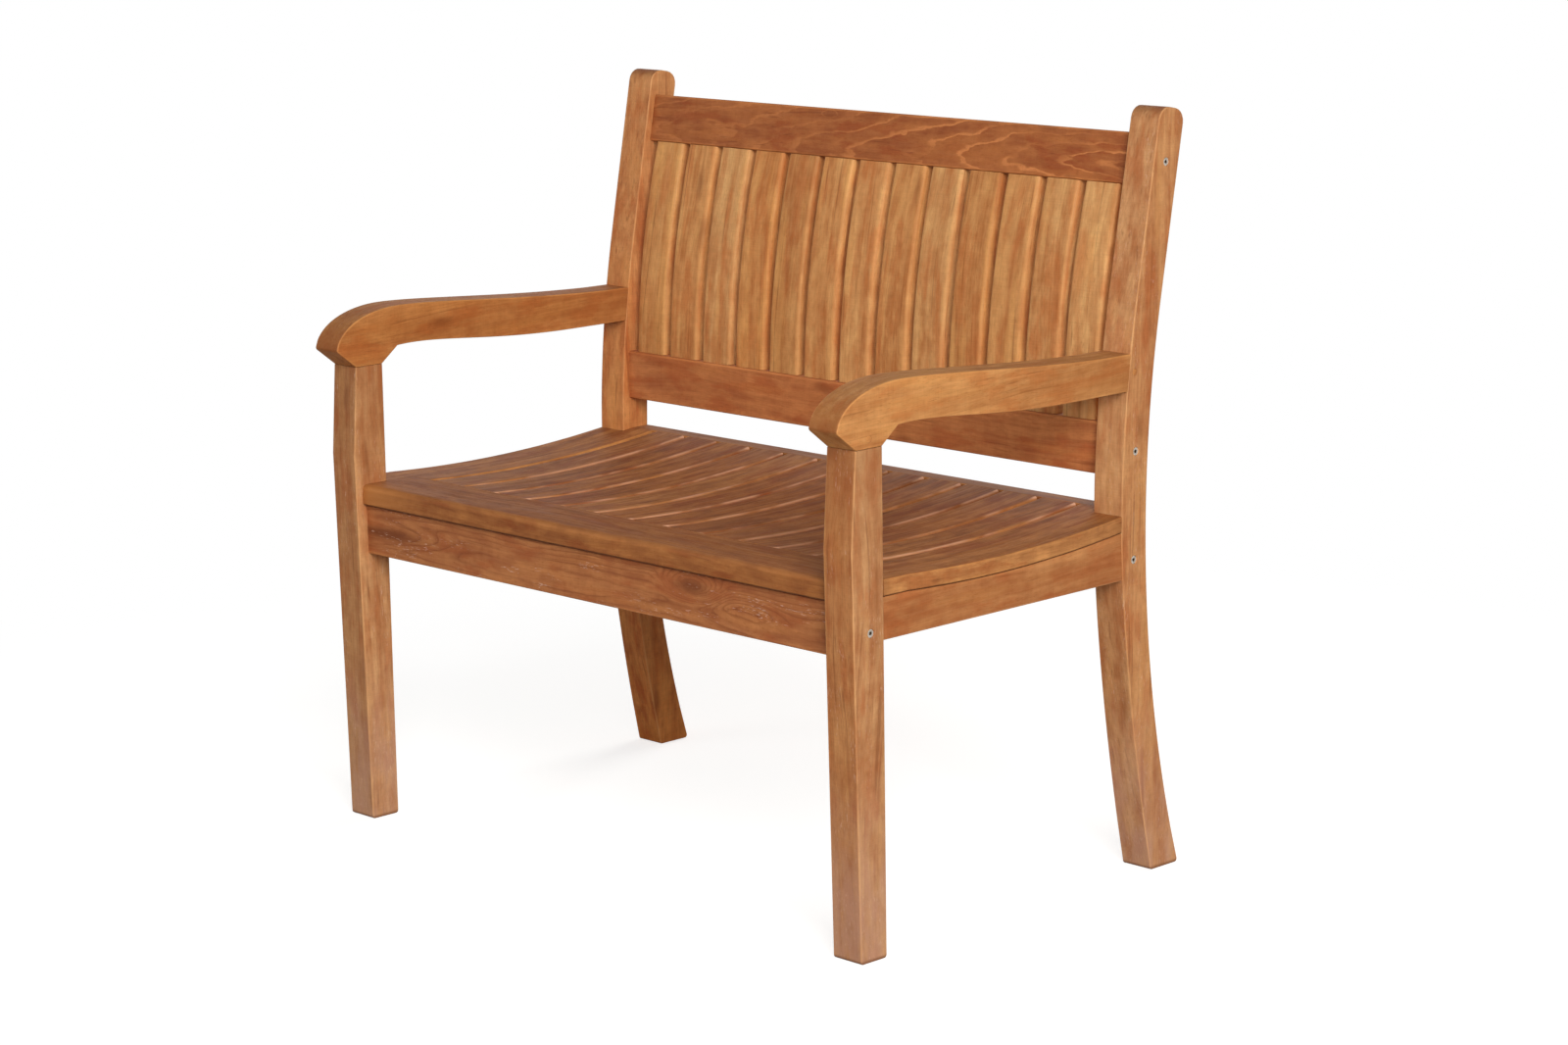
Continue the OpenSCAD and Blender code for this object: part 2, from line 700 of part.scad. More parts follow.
// A socket-head bolt whose head lies just below the face at x
module bolt(x, y, z) {
    head = bolt_head_d / 2;
    difference() {
        union() {
            cross_bar(x - bolt_sunk, y, z, bolt_head_d, head);
            cross_bar(x - bolt_sunk, y, z, bolt_d, bolt_l - bolt_sunk);
        }
        translate([x - bolt_sunk, y, z]) rotate([0, -90, 0])
            cylinder(h = head / 2, d = bolt_head_d / 2, $fn = 6);
    }
}

module rail_bolts() {
    places = [
        [front_leg_mid, front_rail_mid],
        [rear_mid_y(rear_rail_mid), rear_rail_mid],
        [rear_mid_y(low_rail_mid), low_rail_mid],
        [rear_mid_y(top_rail_mid), top_rail_mid]];
    color(steel_tone) placed()
        for (side = [-1, 1], p = places) on_side(side) bolt(outer_x, p[0], p[1]);
}

module arm_pegs() {
    places = [[front_leg_mid, arm_h + peg_set], [arm_peg_y, arm_end_mid]];
    color(arm_tone) placed()
        for (side = [-1, 1], p = places)
            on_side(side) cross_bar(outer_x, p[0], p[1], peg_d, peg_l);
}

// The end board's screw stands where the board lies over the bearer
end_screw_x = (outer_x - end_board_w + side_rail_x) / 2;

function screw_places() = concat([for (i = [1:seat_slats]) slat_x(i)], [-end_screw_x, end_screw_x]);

// A countersunk screw driven up through the bearer
module seat_screw(x, play) {
    low = bearer_top - bearer_t;
    translate([x, bearer_y, low]) {
        cylinder(h = screw_l + play, d = screw_d + play);
        cylinder(h = screw_d, d1 = screw_d * 2 + play, d2 = screw_d + play);
    }
}

module seat_screws() {
    color(steel_tone) placed() for (x = screw_places()) seat_screw(x, 0);
}

// ---- Nodes ----

front_leg(-1);  // front_leg_left
front_leg(1);  // front_leg_right
rear_leg(-1);  // rear_leg_left
rear_leg(1);  // rear_leg_right
front_rail();
rear_seat_rail();
side_rail(-1);  // side_rail_left
side_rail(1);  // side_rail_right
seat_bearer();
seat_front_board();
seat_back_board();
seat_end_board(-1);  // seat_end_board_left
seat_end_board(1);  // seat_end_board_right
for (i = [1:seat_slats])
    seat_slat(i);
armrest(-1);  // armrest_left
armrest(1);  // armrest_right
top_back_rail();
lower_back_rail();
for (i = [1:back_slats])
    back_slat(i);
rail_bolts();
arm_pegs();
seat_screws();
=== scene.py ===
"""Dresses the garden bench: every board is cut again from the outline of its solid with
worn, eased edges, and is finished as sanded teak. Lengths are in metres."""

import math
import random
from functools import partial

import bmesh
import bpy
from bpy.props import FloatProperty, FloatVectorProperty, PointerProperty
from mathutils import Matrix, Vector
from mathutils.geometry import tessellate_polygon


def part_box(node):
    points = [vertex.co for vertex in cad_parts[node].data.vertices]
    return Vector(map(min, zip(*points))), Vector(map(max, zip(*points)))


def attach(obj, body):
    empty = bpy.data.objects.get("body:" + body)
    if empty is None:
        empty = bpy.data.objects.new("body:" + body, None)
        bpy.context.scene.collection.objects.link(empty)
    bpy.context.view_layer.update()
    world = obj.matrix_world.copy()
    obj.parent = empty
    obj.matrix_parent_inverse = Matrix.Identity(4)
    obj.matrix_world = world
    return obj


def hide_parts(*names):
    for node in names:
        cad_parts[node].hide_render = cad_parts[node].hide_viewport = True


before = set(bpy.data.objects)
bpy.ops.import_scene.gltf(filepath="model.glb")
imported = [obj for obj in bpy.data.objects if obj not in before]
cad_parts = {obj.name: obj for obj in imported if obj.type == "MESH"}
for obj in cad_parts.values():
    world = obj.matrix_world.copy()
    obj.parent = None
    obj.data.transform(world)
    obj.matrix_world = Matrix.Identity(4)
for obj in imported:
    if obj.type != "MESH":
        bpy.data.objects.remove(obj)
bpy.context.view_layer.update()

bl_info = {
    "name": "Garden bench",
    "version": (1, 0, 0),
    "blender": (4, 5, 0),
    "location": "View3D > Sidebar > Bench",
    "description": "Builds a slatted teak garden bench round its solids",
    "category": "Add Mesh",
}

MM = 0.001
SAME = 1e-6  # points nearer than this are one
IDLE = math.radians(0.1)  # an outline's point that turns it less than this is left out
SHARP = math.radians(25)  # one that turns it more than this stays a corner
SQUARE = math.radians(45)  # and more than this, it parts two sides of a board
CREASE = math.radians(32)  # an edge that folds more than this isn't shaded smooth
LONGER = 1.8  # a side this many times as long as one beside it is a line
TIGHT = 2.5 * MM  # a section's curve of this radius is as worn as an edge can be
EASE_STEPS = 4  # facets of an eased edge
ROUND = 32  # sides of a bore or a peg
STRAIGHT = 60 * MM  # a longer side of a leg's, an arm's or a side rail's outline is a line
OVERRUN = 8 * MM  # how far a board's end is drawn out before it is cut off square
NEAR = 0.05 * MM  # a point this near the end belongs to it
ROOM = 0.15 * MM  # gap round a bolt or a peg
RIM = 0.4 * MM  # width of a bore's worn rim
DOME = 0.4 * MM  # how far a peg's end stands out in its middle
TREE = 3000  # how far up or down the tree a board may come from, in millimetres
HANDS = (("left", -1), ("right", 1))
FORE, BACK, UP = Vector((-1, 0)), Vector((1, 0)), Vector((0, 1))  # in Y and Z


def linear(code):
    """A colour written as sRGB hex, as Blender's linear red, green and blue."""
    parts = [int(code[i : i + 2], 16) / 255 for i in (1, 3, 5)]
    return [p / 12.92 if p <= 0.04045 else ((p + 0.055) / 1.055) ** 2.4 for p in parts]


def swatch(name, code, description):
    return FloatVectorProperty(
        name=name, description=description, default=linear(code), size=3,
        subtype="COLOR", min=0, max=1)


class BenchEdges(bpy.types.PropertyGroup):
    """Sizes of the edges and joints, which the solids keep plain."""

    ease: FloatProperty(
        name="Eased edge", description="Radius of the edges on legs, arms and end boards",
        default=1.4 * MM, min=0.5 * MM, max=2.5 * MM, unit="LENGTH")
    worn: FloatProperty(
        name="Worn band", description="Width of the pale band beside a worn edge",
        default=1.1 * MM, min=0.5 * MM, max=1.5 * MM, unit="LENGTH")
    joint: FloatProperty(
        name="Joint line", description="Gap left open where two boards meet",
        default=0.25 * MM, min=0, max=1 * MM, unit="LENGTH")
    slat_step: FloatProperty(
        name="Slat detail", description="Spacing of the points round a slat",
        default=1.7 * MM, min=1 * MM, max=4 * MM, unit="LENGTH")


class BenchTeak(bpy.types.PropertyGroup):
    """Colours of the sanded teak, piece by piece."""

    leg_light: swatch("Legs, light", "#cb9765", "Pale bands in the legs")
    leg_dark: swatch("Legs, dark", "#a5663b", "Dark bands in the legs")
    arm_light: swatch("Arms, light", "#cf8f52", "Pale bands in the arms")
    arm_dark: swatch("Arms, dark", "#ad6a36", "Dark bands in the arms")
    rail_light: swatch("Rails, light", "#ca8049", "Pale bands in the rails")
    rail_dark: swatch("Rails, dark", "#9d5730", "Dark bands in the rails")
    seat_light: swatch("Seat, light", "#be7d44", "Pale bands in the seat")
    seat_dark: swatch("Seat, dark", "#874e27", "Dark bands in the seat")
    slat_light: swatch("Back slats, light", "#d49d61", "Pale bands in the back slats")
    slat_dark: swatch("Back slats, dark", "#ad6a38", "Dark bands in the back slats")


class BenchStage(bpy.types.PropertyGroup):
    """Camera and light."""

    azimuth: FloatProperty(
        name="Azimuth", description="Camera's turn round the bench from its front",
        default=math.radians(45.61), subtype="ANGLE")
    elevation: FloatProperty(
        name="Elevation", description="Camera's height above the horizon",
        default=math.radians(11.59), subtype="ANGLE")
    roll: FloatProperty(
        name="Roll", description="Camera's tilt about its own line of sight",
        default=math.radians(-0.85), subtype="ANGLE")
    distance: FloatProperty(
        name="Distance", description="Camera's distance from the point it looks at",
        default=4.881, unit="LENGTH")
    lens: FloatProperty(
        name="Focal length", description="Focal length of the lens in millimetres",
        default=86.39, subtype="DISTANCE_CAMERA")
    target: FloatVectorProperty(
        name="Target", description="Point that the camera looks at",
        default=(0.0001, 0.0788, 0.4084), size=3, subtype="TRANSLATION", unit="LENGTH")
    key: FloatProperty(
        name="Key light", description="Power of the large soft lamp", default=480, min=0)
    fill: FloatProperty(
        name="Fill light", description="Power of the soft lamp on the left", default=50,
        min=0)
    back: FloatProperty(
        name="Back light", description="Power of the soft lamp behind", default=200, min=0)
    sky: FloatProperty(
        name="Surrounding light", description="Strength of the light from all round",
        default=0.17, min=0)


# ---- Nodes ----

MATH, VECTOR, RANGE, MIX = (
    f"ShaderNode{kind}" for kind in ("Math", "VectorMath", "MapRange", "Mix"))
SOFT = {"interpolation_type": "SMOOTHSTEP"}
OVER = {"data_type": "RGBA"}
TIMES = {"data_type": "RGBA", "blend_type": "MULTIPLY"}
WHITE = (1.0, 1.0, 1.0, 1.0)


def add(tree, kind, settings=None, *values, **named):
    """Adds a node with its settings, or with that operation. Values go to its open inputs
    in their order, or to the ones they name. Each is a value, a socket, or a node whose
    first open output is linked."""
    node = tree.nodes.new(kind)
    if isinstance(settings, str):
        settings = {"operation": settings}
    for key, value in (settings or {}).items():
        setattr(node, key, value)
    sockets = {s.identifier: s for s in node.inputs}
    given = list(zip((s for s in node.inputs if s.enabled), values))
    given += [(sockets.get(key) or sockets[key.replace("_", " ")], value)
              for key, value in named.items()]
    for socket, value in given:
        if isinstance(value, bpy.types.Node):
            value = next(s for s in value.outputs if s.enabled)
        if isinstance(value, bpy.types.NodeSocket):
            tree.links.new(value, socket)
        elif socket.type == "RGBA" and len(value) == 3:
            socket.default_value = (*value, 1)
        else:
            socket.default_value = value
    return node


def blank_material(name):
    """A material without nodes, and its tree."""
    mat = bpy.data.materials.new(name)
    mat.use_nodes = True
    mat.node_tree.nodes.clear()
    return mat, mat.node_tree


# The marks in teak, as shares of its light or dark colour in red, green and blue
DRAWN_OIL = (1.12, 0.84, 0.66)
GOLDEN = (1.1, 1.12, 1.0)
YEAR_LINE = (0.72, 0.66, 0.6)
PALE_YEAR_LINE = (1.45, 1.55, 1.65)
VEIN = (0.5, 0.43, 0.38)
PORE = (0.5, 0.45, 0.4)
KNOT = (0.45, 0.38, 0.32)
PALE_EYE = (1.15, 1.15, 1.1)
END_GRAIN = (0.55, 0.46, 0.36)
BARE = (1.2, 1.22, 1.2)
# Grime, and painted shadow in joints under overhanging boards
DIRT_AND_SHADOW = (0.22, 0.18, 0.15)
FOOT_BAND = (0.5, 0.5, 0.5)


def shaded(colour, shares):
    return [min(1, part * share) for part, share in zip(colour, shares)]


def teak(name, part, rings=5.0, lines=0.18, pale_lines=False, stain=0.4, bare=None,
         rubbing=0.5, dusty=0.0, scuffs=0.0, eyes=()):
    """Sanded teak, unoiled, in that part's two colours: matt and smooth, with soft bands
    of gold and red brown, short fine pores along the grain, a few dark streaks, and growth
    rings that run through the board, so that its faces, edges and ends belong together.

    The grain attribute holds a board's own millimetres, first along the grain and then across it
    from the heart of the tree. An arris above nought is rubbed to the bare colour, and one below
    it is darkened: grime, and painted shadow in the joints under overhanging boards. Dusty wood
    is greyer near the ground, and scuffed wood has short pale scratches. Pale lines are
    strongest on the right. Each eye is a place where the grain flows round a knot: its middle,
    its half sizes, how far it bends the grain in millimetres, and how dark it is, or how pale
    where that is below nought."""
    mat, tree = blank_material(name)
    put = partial(add, tree)
    woods = bpy.context.scene.bench_teak
    light, dark = getattr(woods, f"{part}_light"), getattr(woods, f"{part}_dark")
    grain, tint = (put("ShaderNodeAttribute", {"attribute_name": key}).outputs["Vector"]
                   for key in ("grain", "tint"))
    arris, ends = (put("ShaderNodeAttribute", {"attribute_name": key}).outputs["Fac"]
                   for key in ("arris", "ends"))
    place = put("ShaderNodeTexCoord").outputs["Object"]

    def patches(vector, along, across, detail, rough=0.5):
        """Noise whose patches are that long and that wide in millimetres."""
        scaled = put(VECTOR, "MULTIPLY", vector, (1 / along, 1 / across, 1 / across))
        return put("ShaderNodeTexNoise", Vector=scaled, Scale=1.0, Detail=detail,
                   Roughness=rough)

    # The heart of the tree wanders a few centimetres over a board's length
    wander = patches(grain, 300, 110, 1.0).outputs["Color"]
    wander = put(VECTOR, "SUBTRACT", wander, (0.5, 0.5, 0.5))
    moved = put(VECTOR, "MULTIPLY_ADD", wander, (0, 34, 34), grain)
    spots = []
    for middle, size, bend, depth in eyes:
        off = put(VECTOR, "SUBTRACT", place, middle)
        off = put(VECTOR, "LENGTH", put(VECTOR, "DIVIDE", off, size))
        core = put(RANGE, SOFT, off, 0.5, 0.1, 0.0, abs(depth))
        spots.append((core, shaded(dark, KNOT) if depth > 0 else shaded(light, PALE_EYE)))
        eye = put(RANGE, SOFT, off, 1.0, 0.0)
        moved = put(VECTOR, "MULTIPLY_ADD", eye, (0, bend, bend), moved)
    # Small swellings turn the rings round pin knots
    knots = put(VECTOR, "MULTIPLY", grain, (1 / 210, 1 / 62, 1 / 62))
    knots = put("ShaderNodeTexVoronoi", Vector=knots, Scale=1.0)
    knot = put(RANGE, SOFT, knots.outputs["Distance"], 0.15, 0.02)
    spots.append((put(MATH, "MULTIPLY", knot, 0.5), shaded(dark, KNOT)))

    radius = put(VECTOR, "LENGTH", put(VECTOR, "MULTIPLY", moved, (0, 1, 1)))
    phase = put(MATH, "DIVIDE", radius, rings)
    for pattern, years in ((patches(moved, 45, 16, 2.0), 1.1 if pale_lines else 0.7),
                           (knot, 1.6)):
        phase = put(MATH, "MULTIPLY_ADD", pattern, years, phase)
    ring = put("ShaderNodeValToRGB", None, put(MATH, "FRACT", phase))
    # How strongly each part of a year shows
    if pale_lines:
        stops = [(0.0, 0.0), (0.04, 1.0), (0.13, 0.9), (0.22, 0.15), (0.6, 0.0), (1.0, 0.0)]
    else:
        stops = [(0.0, 1.0), (0.1, 0.6), (0.3, 0.15), (0.75, 0.0), (0.93, 0.3), (1.0, 1.0)]
    points = ring.color_ramp.elements
    while len(points) < len(stops):
        points.new(0.5)
    for point, (time, strength) in zip(points, stops):
        point.position = time
        point.color = (strength, strength, strength, 1)
    # Not every year shows: some stretches of a board are plain
    shows = [put(RANGE, SOFT, patches(grain, 160, 26, 1.0), 0.35, 0.55, 0.25)]
    if pale_lines:
        right = put("ShaderNodeSeparateXYZ", None, place).outputs["X"]
        shows.append(put(RANGE, SOFT, right, -0.15, 0.15, 0.4))
    for share in (*shows, lines):
        ring = put(MATH, "MULTIPLY", ring, share)

    bands = patches(moved, 420, 15, 2.0)
    streaks = patches(moved, 240, 3.6, 2.0, 0.6)
    figure = patches(moved, 32, 17, 2.0)
    veins = patches(moved, 330, 4.5, 1.0)
    fibres = patches(moved, 42, 1.3, 1.0)
    mottle = patches(grain, 10, 7, 2.0)
    clouds = patches(grain, 85, 24, 4.0, 0.6)
    glow = patches(grain, 210, 24, 1.0)
    # Vessels are 0.3 mm wide; they are drawn 0.8 mm wide to show at arm's length
    pores = put(RANGE, SOFT, patches(moved, 8, 0.8, 0.0), 0.64, 0.74)
    # Belts sand across the grain with scratches 0.2 mm wide, which are drawn 1.2 mm wide
    scratches = patches(grain, 1.2, 30, 1.0)

    shade = 0.0
    for pattern, low, high, weight in ((bands, 0.34, 0.66, 0.46), (streaks, 0.32, 0.7, 0.16),
                                       (figure, 0.34, 0.66, 0.38)):
        shade = put(MATH, "MULTIPLY_ADD", put(RANGE, SOFT, pattern, low, high), weight, shade)
    colour = put(MIX, OVER, shade, light, dark)
    # Redder clouds, where the oil has drawn out, golden ones, year lines and dark veins
    for where, paint in (
            (put(RANGE, SOFT, clouds, 0.5, 0.63, 0.0, stain), shaded(dark, DRAWN_OIL)),
            (put(RANGE, SOFT, glow, 0.55, 0.7, 0.0, 0.35), shaded(light, GOLDEN)),
            (ring, shaded(light, PALE_YEAR_LINE) if pale_lines else shaded(dark, YEAR_LINE)),
            (put(RANGE, SOFT, veins, 0.65, 0.76, 0.0, 0.45), shaded(dark, VEIN))):
        colour = put(MIX, OVER, where, colour, paint)
    for pattern, least in ((fibres, 0.96), (mottle, 0.96), (scratches, 0.97)):
        share = put(RANGE, SOFT, pattern, 0.3, 0.7, least, 2 - least)
        colour = put(MIX, TIMES, 1.0, colour, share)
    for where, paint in ((put(MATH, "MULTIPLY", pores, 0.22), shaded(dark, PORE)), *spots):
        colour = put(MIX, OVER, where, colour, paint)
    # What looks up is darker: painted shade, as little light falls on tops. End grain is darker
    # too, as it drinks in more
    normal = put("ShaderNodeNewGeometry").outputs["Normal"]
    upward = put("ShaderNodeSeparateXYZ", None, normal).outputs["Z"]
    for share in (tint, put(RANGE, SOFT, upward, 0.2, 0.85, 1.0, 0.76)):
        colour = put(MIX, TIMES, 1.0, colour, share)
    ends = put(MATH, "MULTIPLY", ends, 0.85)
    colour = put(MIX, OVER, ends, colour, shaded(dark, END_GRAIN))
    if dusty:
        height = put("ShaderNodeSeparateXYZ", None, place).outputs["Z"]
        splash = put(MATH, "MULTIPLY", put(RANGE, SOFT, height, 0.26, 0.03),
                     put(RANGE, SOFT, clouds, 0.35, 0.6, 0.3))
        flecks = put(RANGE, SOFT, patches(grain, 7, 1.6, 2.0), 0.6, 0.72, 0.0, 0.4)
        for share, paint in ((dusty, "#c0937a"), (flecks, "#d9b396")):
            splashed = put(MATH, "MULTIPLY", splash, share)
            colour = put(MIX, OVER, splashed, colour, linear(paint))
    if scuffs:
        where = put(RANGE, SOFT, patches(grain, 90, 16, 2.0), 0.52, 0.62)
        scuffed = put(RANGE, SOFT, patches(grain, 9, 1.3, 2.0), 0.6, 0.68, 0.0, scuffs)
        scuffed = put(MATH, "MULTIPLY", where, scuffed)
        colour = put(MIX, OVER, scuffed, colour, linear("#e0bca4"))
    # Edges are rubbed through to pale wood, unevenly, and joints are darkened: grime, and
    # painted shadow under overhanging boards
    rub = put(RANGE, SOFT, patches(grain, 60, 20, 2.0), 0.38, 0.64, 0.1 if bare else 0.35)
    for share in (put(MATH, "MAXIMUM", arris, 0.0), rubbing):
        rub = put(MATH, "MULTIPLY", rub, share)
    colour = put(MIX, OVER, rub, colour, bare or shaded(light, BARE))
    darkened = put(RANGE, SOFT, arris, -0.25, -1.0, 0.0, 0.75)
    colour = put(MIX, OVER, darkened, colour, shaded(dark, DIRT_AND_SHADOW))
    if dusty:
        # The legs are darker at the rims of their feet, in their lowest few millimetres
        foot_band = put(RANGE, SOFT, height, 6 * MM, 1 * MM, 0.0, 0.8)
        colour = put(MIX, OVER, foot_band, colour, shaded(dark, FOOT_BAND))

    rough = put(MATH, {"operation": "MULTIPLY_ADD", "use_clamp": True}, pores, 0.15,
                put(RANGE, SOFT, streaks, 0.3, 0.7, 0.55, 0.7))
    relief = put(MATH, "MULTIPLY", fibres, 0.6)
    for pattern, rise in ((streaks, 0.5), (scratches, 0.25), (pores, -0.5)):
        relief = put(MATH, "MULTIPLY_ADD", pattern, rise, relief)
    bump = put("ShaderNodeBump", Height=relief, Strength=0.4, Distance=0.3 * MM)
    surface = put("ShaderNodeBsdfPrincipled", Base_Color=colour, Roughness=rough,
                  Normal=bump, IOR=1.5, Specular_IOR_Level=0.22)
    put("ShaderNodeOutputMaterial", Surface=surface)
    return mat


def steel(name, deep=None):
    """Stainless steel, turned and tumbled: pale grey, half dull, with fine tool marks and a
    little brown dust. Nearer the middle of the bench than `deep`, which is inside the sockets of
    its bolts, it is dark brown."""
    mat, tree = blank_material(name)
    put = partial(add, tree)
    place = put("ShaderNodeTexCoord").outputs["Object"]
    # Tool marks are 0.1 mm apart; they are drawn 0.5 mm apart to show at all
    marks = put("ShaderNodeTexNoise", Vector=place, Scale=1 / (0.5 * MM), Detail=2.0)
    stains = put("ShaderNodeTexNoise", Vector=place, Scale=1 / (4 * MM), Detail=3.0)
    dust = put(RANGE, None, stains, 0.5, 0.8)
    colour = put(MIX, OVER, dust, linear("#f4eee4"), linear("#b7a083"))
    if deep:
        off = put("ShaderNodeSeparateXYZ", None, place).outputs["X"]
        darkened = put(RANGE, None, put(MATH, "ABSOLUTE", off), deep + 0.4 * MM, deep - 0.4 * MM)
        colour = put(MIX, OVER, darkened, colour, linear("#5d4b36"))
    rough = put(RANGE, None, marks, 0.3, 0.7, 0.34, 0.52)
    bump = put("ShaderNodeBump", Height=marks, Strength=0.25, Distance=0.05 * MM)
    surface = put("ShaderNodeBsdfPrincipled", Base_Color=colour, Roughness=rough,
                  Normal=bump, Metallic=1.0)
    put("ShaderNodeOutputMaterial", Surface=surface)
    return mat


# ---- Outlines, read from the solids ----


def merged(node):
    """A node's mesh with its loose triangles joined."""
    bm = bmesh.new()
    bm.from_mesh(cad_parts[node].data)
    bmesh.ops.remove_doubles(bm, verts=bm.verts, dist=SAME)
    return bm


def cut_by(bm, point, normal, both=False):
    """Cuts a mesh by a plane and clears what lies past it, or on both sides of it."""
    return bmesh.ops.bisect_plane(
        bm, geom=[*bm.verts, *bm.edges, *bm.faces], dist=SAME / 10, plane_co=point,
        plane_no=normal, clear_inner=both, clear_outer=True)["geom_cut"]


def loops_at(node, x):
    """The closed lines where the plane at x cuts a node, as points in Y and Z."""
    bm = merged(node)
    cut_by(bm, (x, 0, 0), (1, 0, 0), both=True)
    left, loops = dict.fromkeys(bm.verts), []
    while left:
        loop, at = [], next(iter(left))
        while at:
            del left[at]
            loop.append(Vector((at.co.y, at.co.z)))
            beside = (e.other_vert(at) for e in at.link_edges)
            at = next((v for v in beside if v in left), None)
        if len(loop) > 2:
            loops.append(loop)
    bm.free()
    return loops


def area_of(loop):
    return sum(p.x * q.y - q.x * p.y for p, q in zip(loop, loop[1:] + loop[:1])) / 2


def turn_at(loop, i):
    """How far an outline turns at its point i, in radians."""
    a, b = loop[i] - loop[i - 1], loop[(i + 1) % len(loop)] - loop[i]
    return math.atan2(a.x * b.y - a.y * b.x, a.dot(b))


def outline_at(node, x):
    """A node's largest outline at x, running round to the left, without idle points."""
    loop = max(loops_at(node, x), key=lambda one: abs(area_of(one)))
    if area_of(loop) < 0:
        loop.reverse()
    loop = [p for i, p in enumerate(loop) if (p - loop[i - 1]).length > 0.02 * MM]
    return [p for i, p in enumerate(loop) if abs(turn_at(loop, i)) > IDLE]


def outer_face(node, side):
    """Where a node's outer face lies, on the bench's left or right side."""
    lo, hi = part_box(node)
    return hi.x if side > 0 else lo.x


def between_slats():
    """A place along the back where no slat hides its rails."""
    return (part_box("back_slat_07")[1].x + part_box("back_slat_08")[0].x) / 2


def islands(node):
    """The boxes of a node's separate solids."""
    bm = merged(node)
    left, boxes = dict.fromkeys(bm.verts), []
    while left:
        found = [left.popitem()[0]]
        for v in found:
            for other in (e.other_vert(v) for e in v.link_edges):
                if other in left:
                    del left[other]
                    found.append(other)
        boxes.append([Vector(f(v.co[k] for v in found) for k in range(3)) for f in (min, max)])
    bm.free()
    return boxes


def refined(loop, step, straight, band=0.0):
    """An outline with more points along its curves. A side longer than `straight`, or
    much longer than one beside it, stays a line, with one more point a band's width from
    each end. Sharp corners stay sharp."""
    n = len(loop)
    sides = [loop[(i + 1) % n] - loop[i] for i in range(n)]
    sharp = [abs(turn_at(loop, i)) > SHARP for i in range(n)]
    lines = [side.length > straight or side.length > LONGER * min(
        sides[i - 1].length, sides[(i + 1) % n].length) for i, side in enumerate(sides)]

    def tangent(i, side):
        before, after = sides[i - 1], sides[i]
        if sharp[i]:
            return sides[side].normalized()
        if lines[i]:
            return after.normalized()
        if lines[i - 1]:
            return before.normalized()
        return (before.normalized() * after.length
                + after.normalized() * before.length).normalized()

    out = []
    for i in range(n):
        p, q, side = loop[i], loop[(i + 1) % n], sides[i]
        out.append(p)
        if lines[i]:
            if band and side.length > 3 * band:
                out += [p + side.normalized() * band, q - side.normalized() * band]
            continue
        count = math.ceil(side.length / step)
        a, b = tangent(i, i) * side.length, tangent((i + 1) % n, i) * side.length
        for k in range(1, count):
            t = k / count
            out.append(
                (2 * t**3 - 3 * t**2 + 1) * p + (t**3 - 2 * t**2 + t) * a
                + (3 * t**2 - 2 * t**3) * q + (t**3 - t**2) * b)
    return out


def inset(loop, d):
    """An outline that runs round to the left, moved inwards."""
    out = []
    for i, p in enumerate(loop):
        a = (p - loop[i - 1]).normalized()
        b = (loop[(i + 1) % len(loop)] - p).normalized()
        a, b = Vector((-a.y, a.x)), Vector((-b.y, b.x))
        out.append(p + (a + b) * d / (1 + a.dot(b)))
    return out


def run_out(loop, way):
    """A side outline whose end that way is drawn out by a few millimetres, and the plane
    that cuts it off square again, a joint's width short of where it ended."""
    corners = [p for i, p in enumerate(loop) if abs(turn_at(loop, i)) > SQUARE]
    a, b = sorted(corners, key=way.dot)[-2:]
    normal = Vector((0, b.y - a.y, a.x - b.x)).normalized()
    if normal.yz.dot(way) < 0:
        normal.negate()
    limit = min(a.dot(way), b.dot(way)) - NEAR
    drawn = [p + way * OVERRUN if p.dot(way) > limit else p for p in loop]
    return drawn, Vector((0, *a)) - normal * bpy.context.scene.bench_edges.joint, normal


def faces_of(loop, front):
    """The two long sides of a four-cornered outline, first the one towards `front`."""
    corners = [i for i in range(len(loop)) if abs(turn_at(loop, i)) > SQUARE]
    chains = [(loop + loop)[a : (b if b > a else b + len(loop)) + 1]
              for a, b in zip(corners, corners[1:] + corners[:1])]
    chains = sorted(chains, key=lambda c: (c[0] - c[-1]).length)[-2:]
    middles = [sum(c, Vector((0, 0))) / len(c) for c in chains]
    return chains if (middles[0] - middles[1]).dot(front) > 0 else chains[::-1]


def level_at(chain, y):
    """The height of an open line of points at y."""
    line = sorted(chain, key=lambda p: p.x)
    for p, q in zip(line, line[1:]):
        if y <= q.x:
            return p.y + (q.y - p.y) * (y - p.x) / max(q.x - p.x, 1e-9)
    return line[-1].y


# ---- Boards ----


def linked(name, data):
    """A new object in the scene."""
    obj = bpy.data.objects.new(name, data)
    bpy.context.scene.collection.objects.link(obj)
    return obj


def new_board():
    bm = bmesh.new()
    bm.verts.layers.float.new("arris")
    return bm


def ring_of(bm, x, points, arris):
    """One ring of a board's points at x, with how worn each is."""
    layer = bm.verts.layers.float["arris"]
    verts = [bm.verts.new((x, p.x, p.y)) for p in points]
    for k, v in enumerate(verts):
        v[layer] = arris[k] if isinstance(arris, list) else arris
    return verts


def bridge(bm, a, b):
    for i in range(len(a)):
        bm.faces.new((a[i - 1], a[i], b[i], b[i - 1]))


def cap(bm, rim, holes=()):
    """Closes a board's side, apart from its holes."""
    loops = [rim, *holes]
    verts = [v for loop in loops for v in loop]
    flat = [[Vector((v.co.y, v.co.z, 0)) for v in loop] for loop in loops]
    for corners in tessellate_polygon(flat):
        bm.faces.new([verts[k] for k in corners])


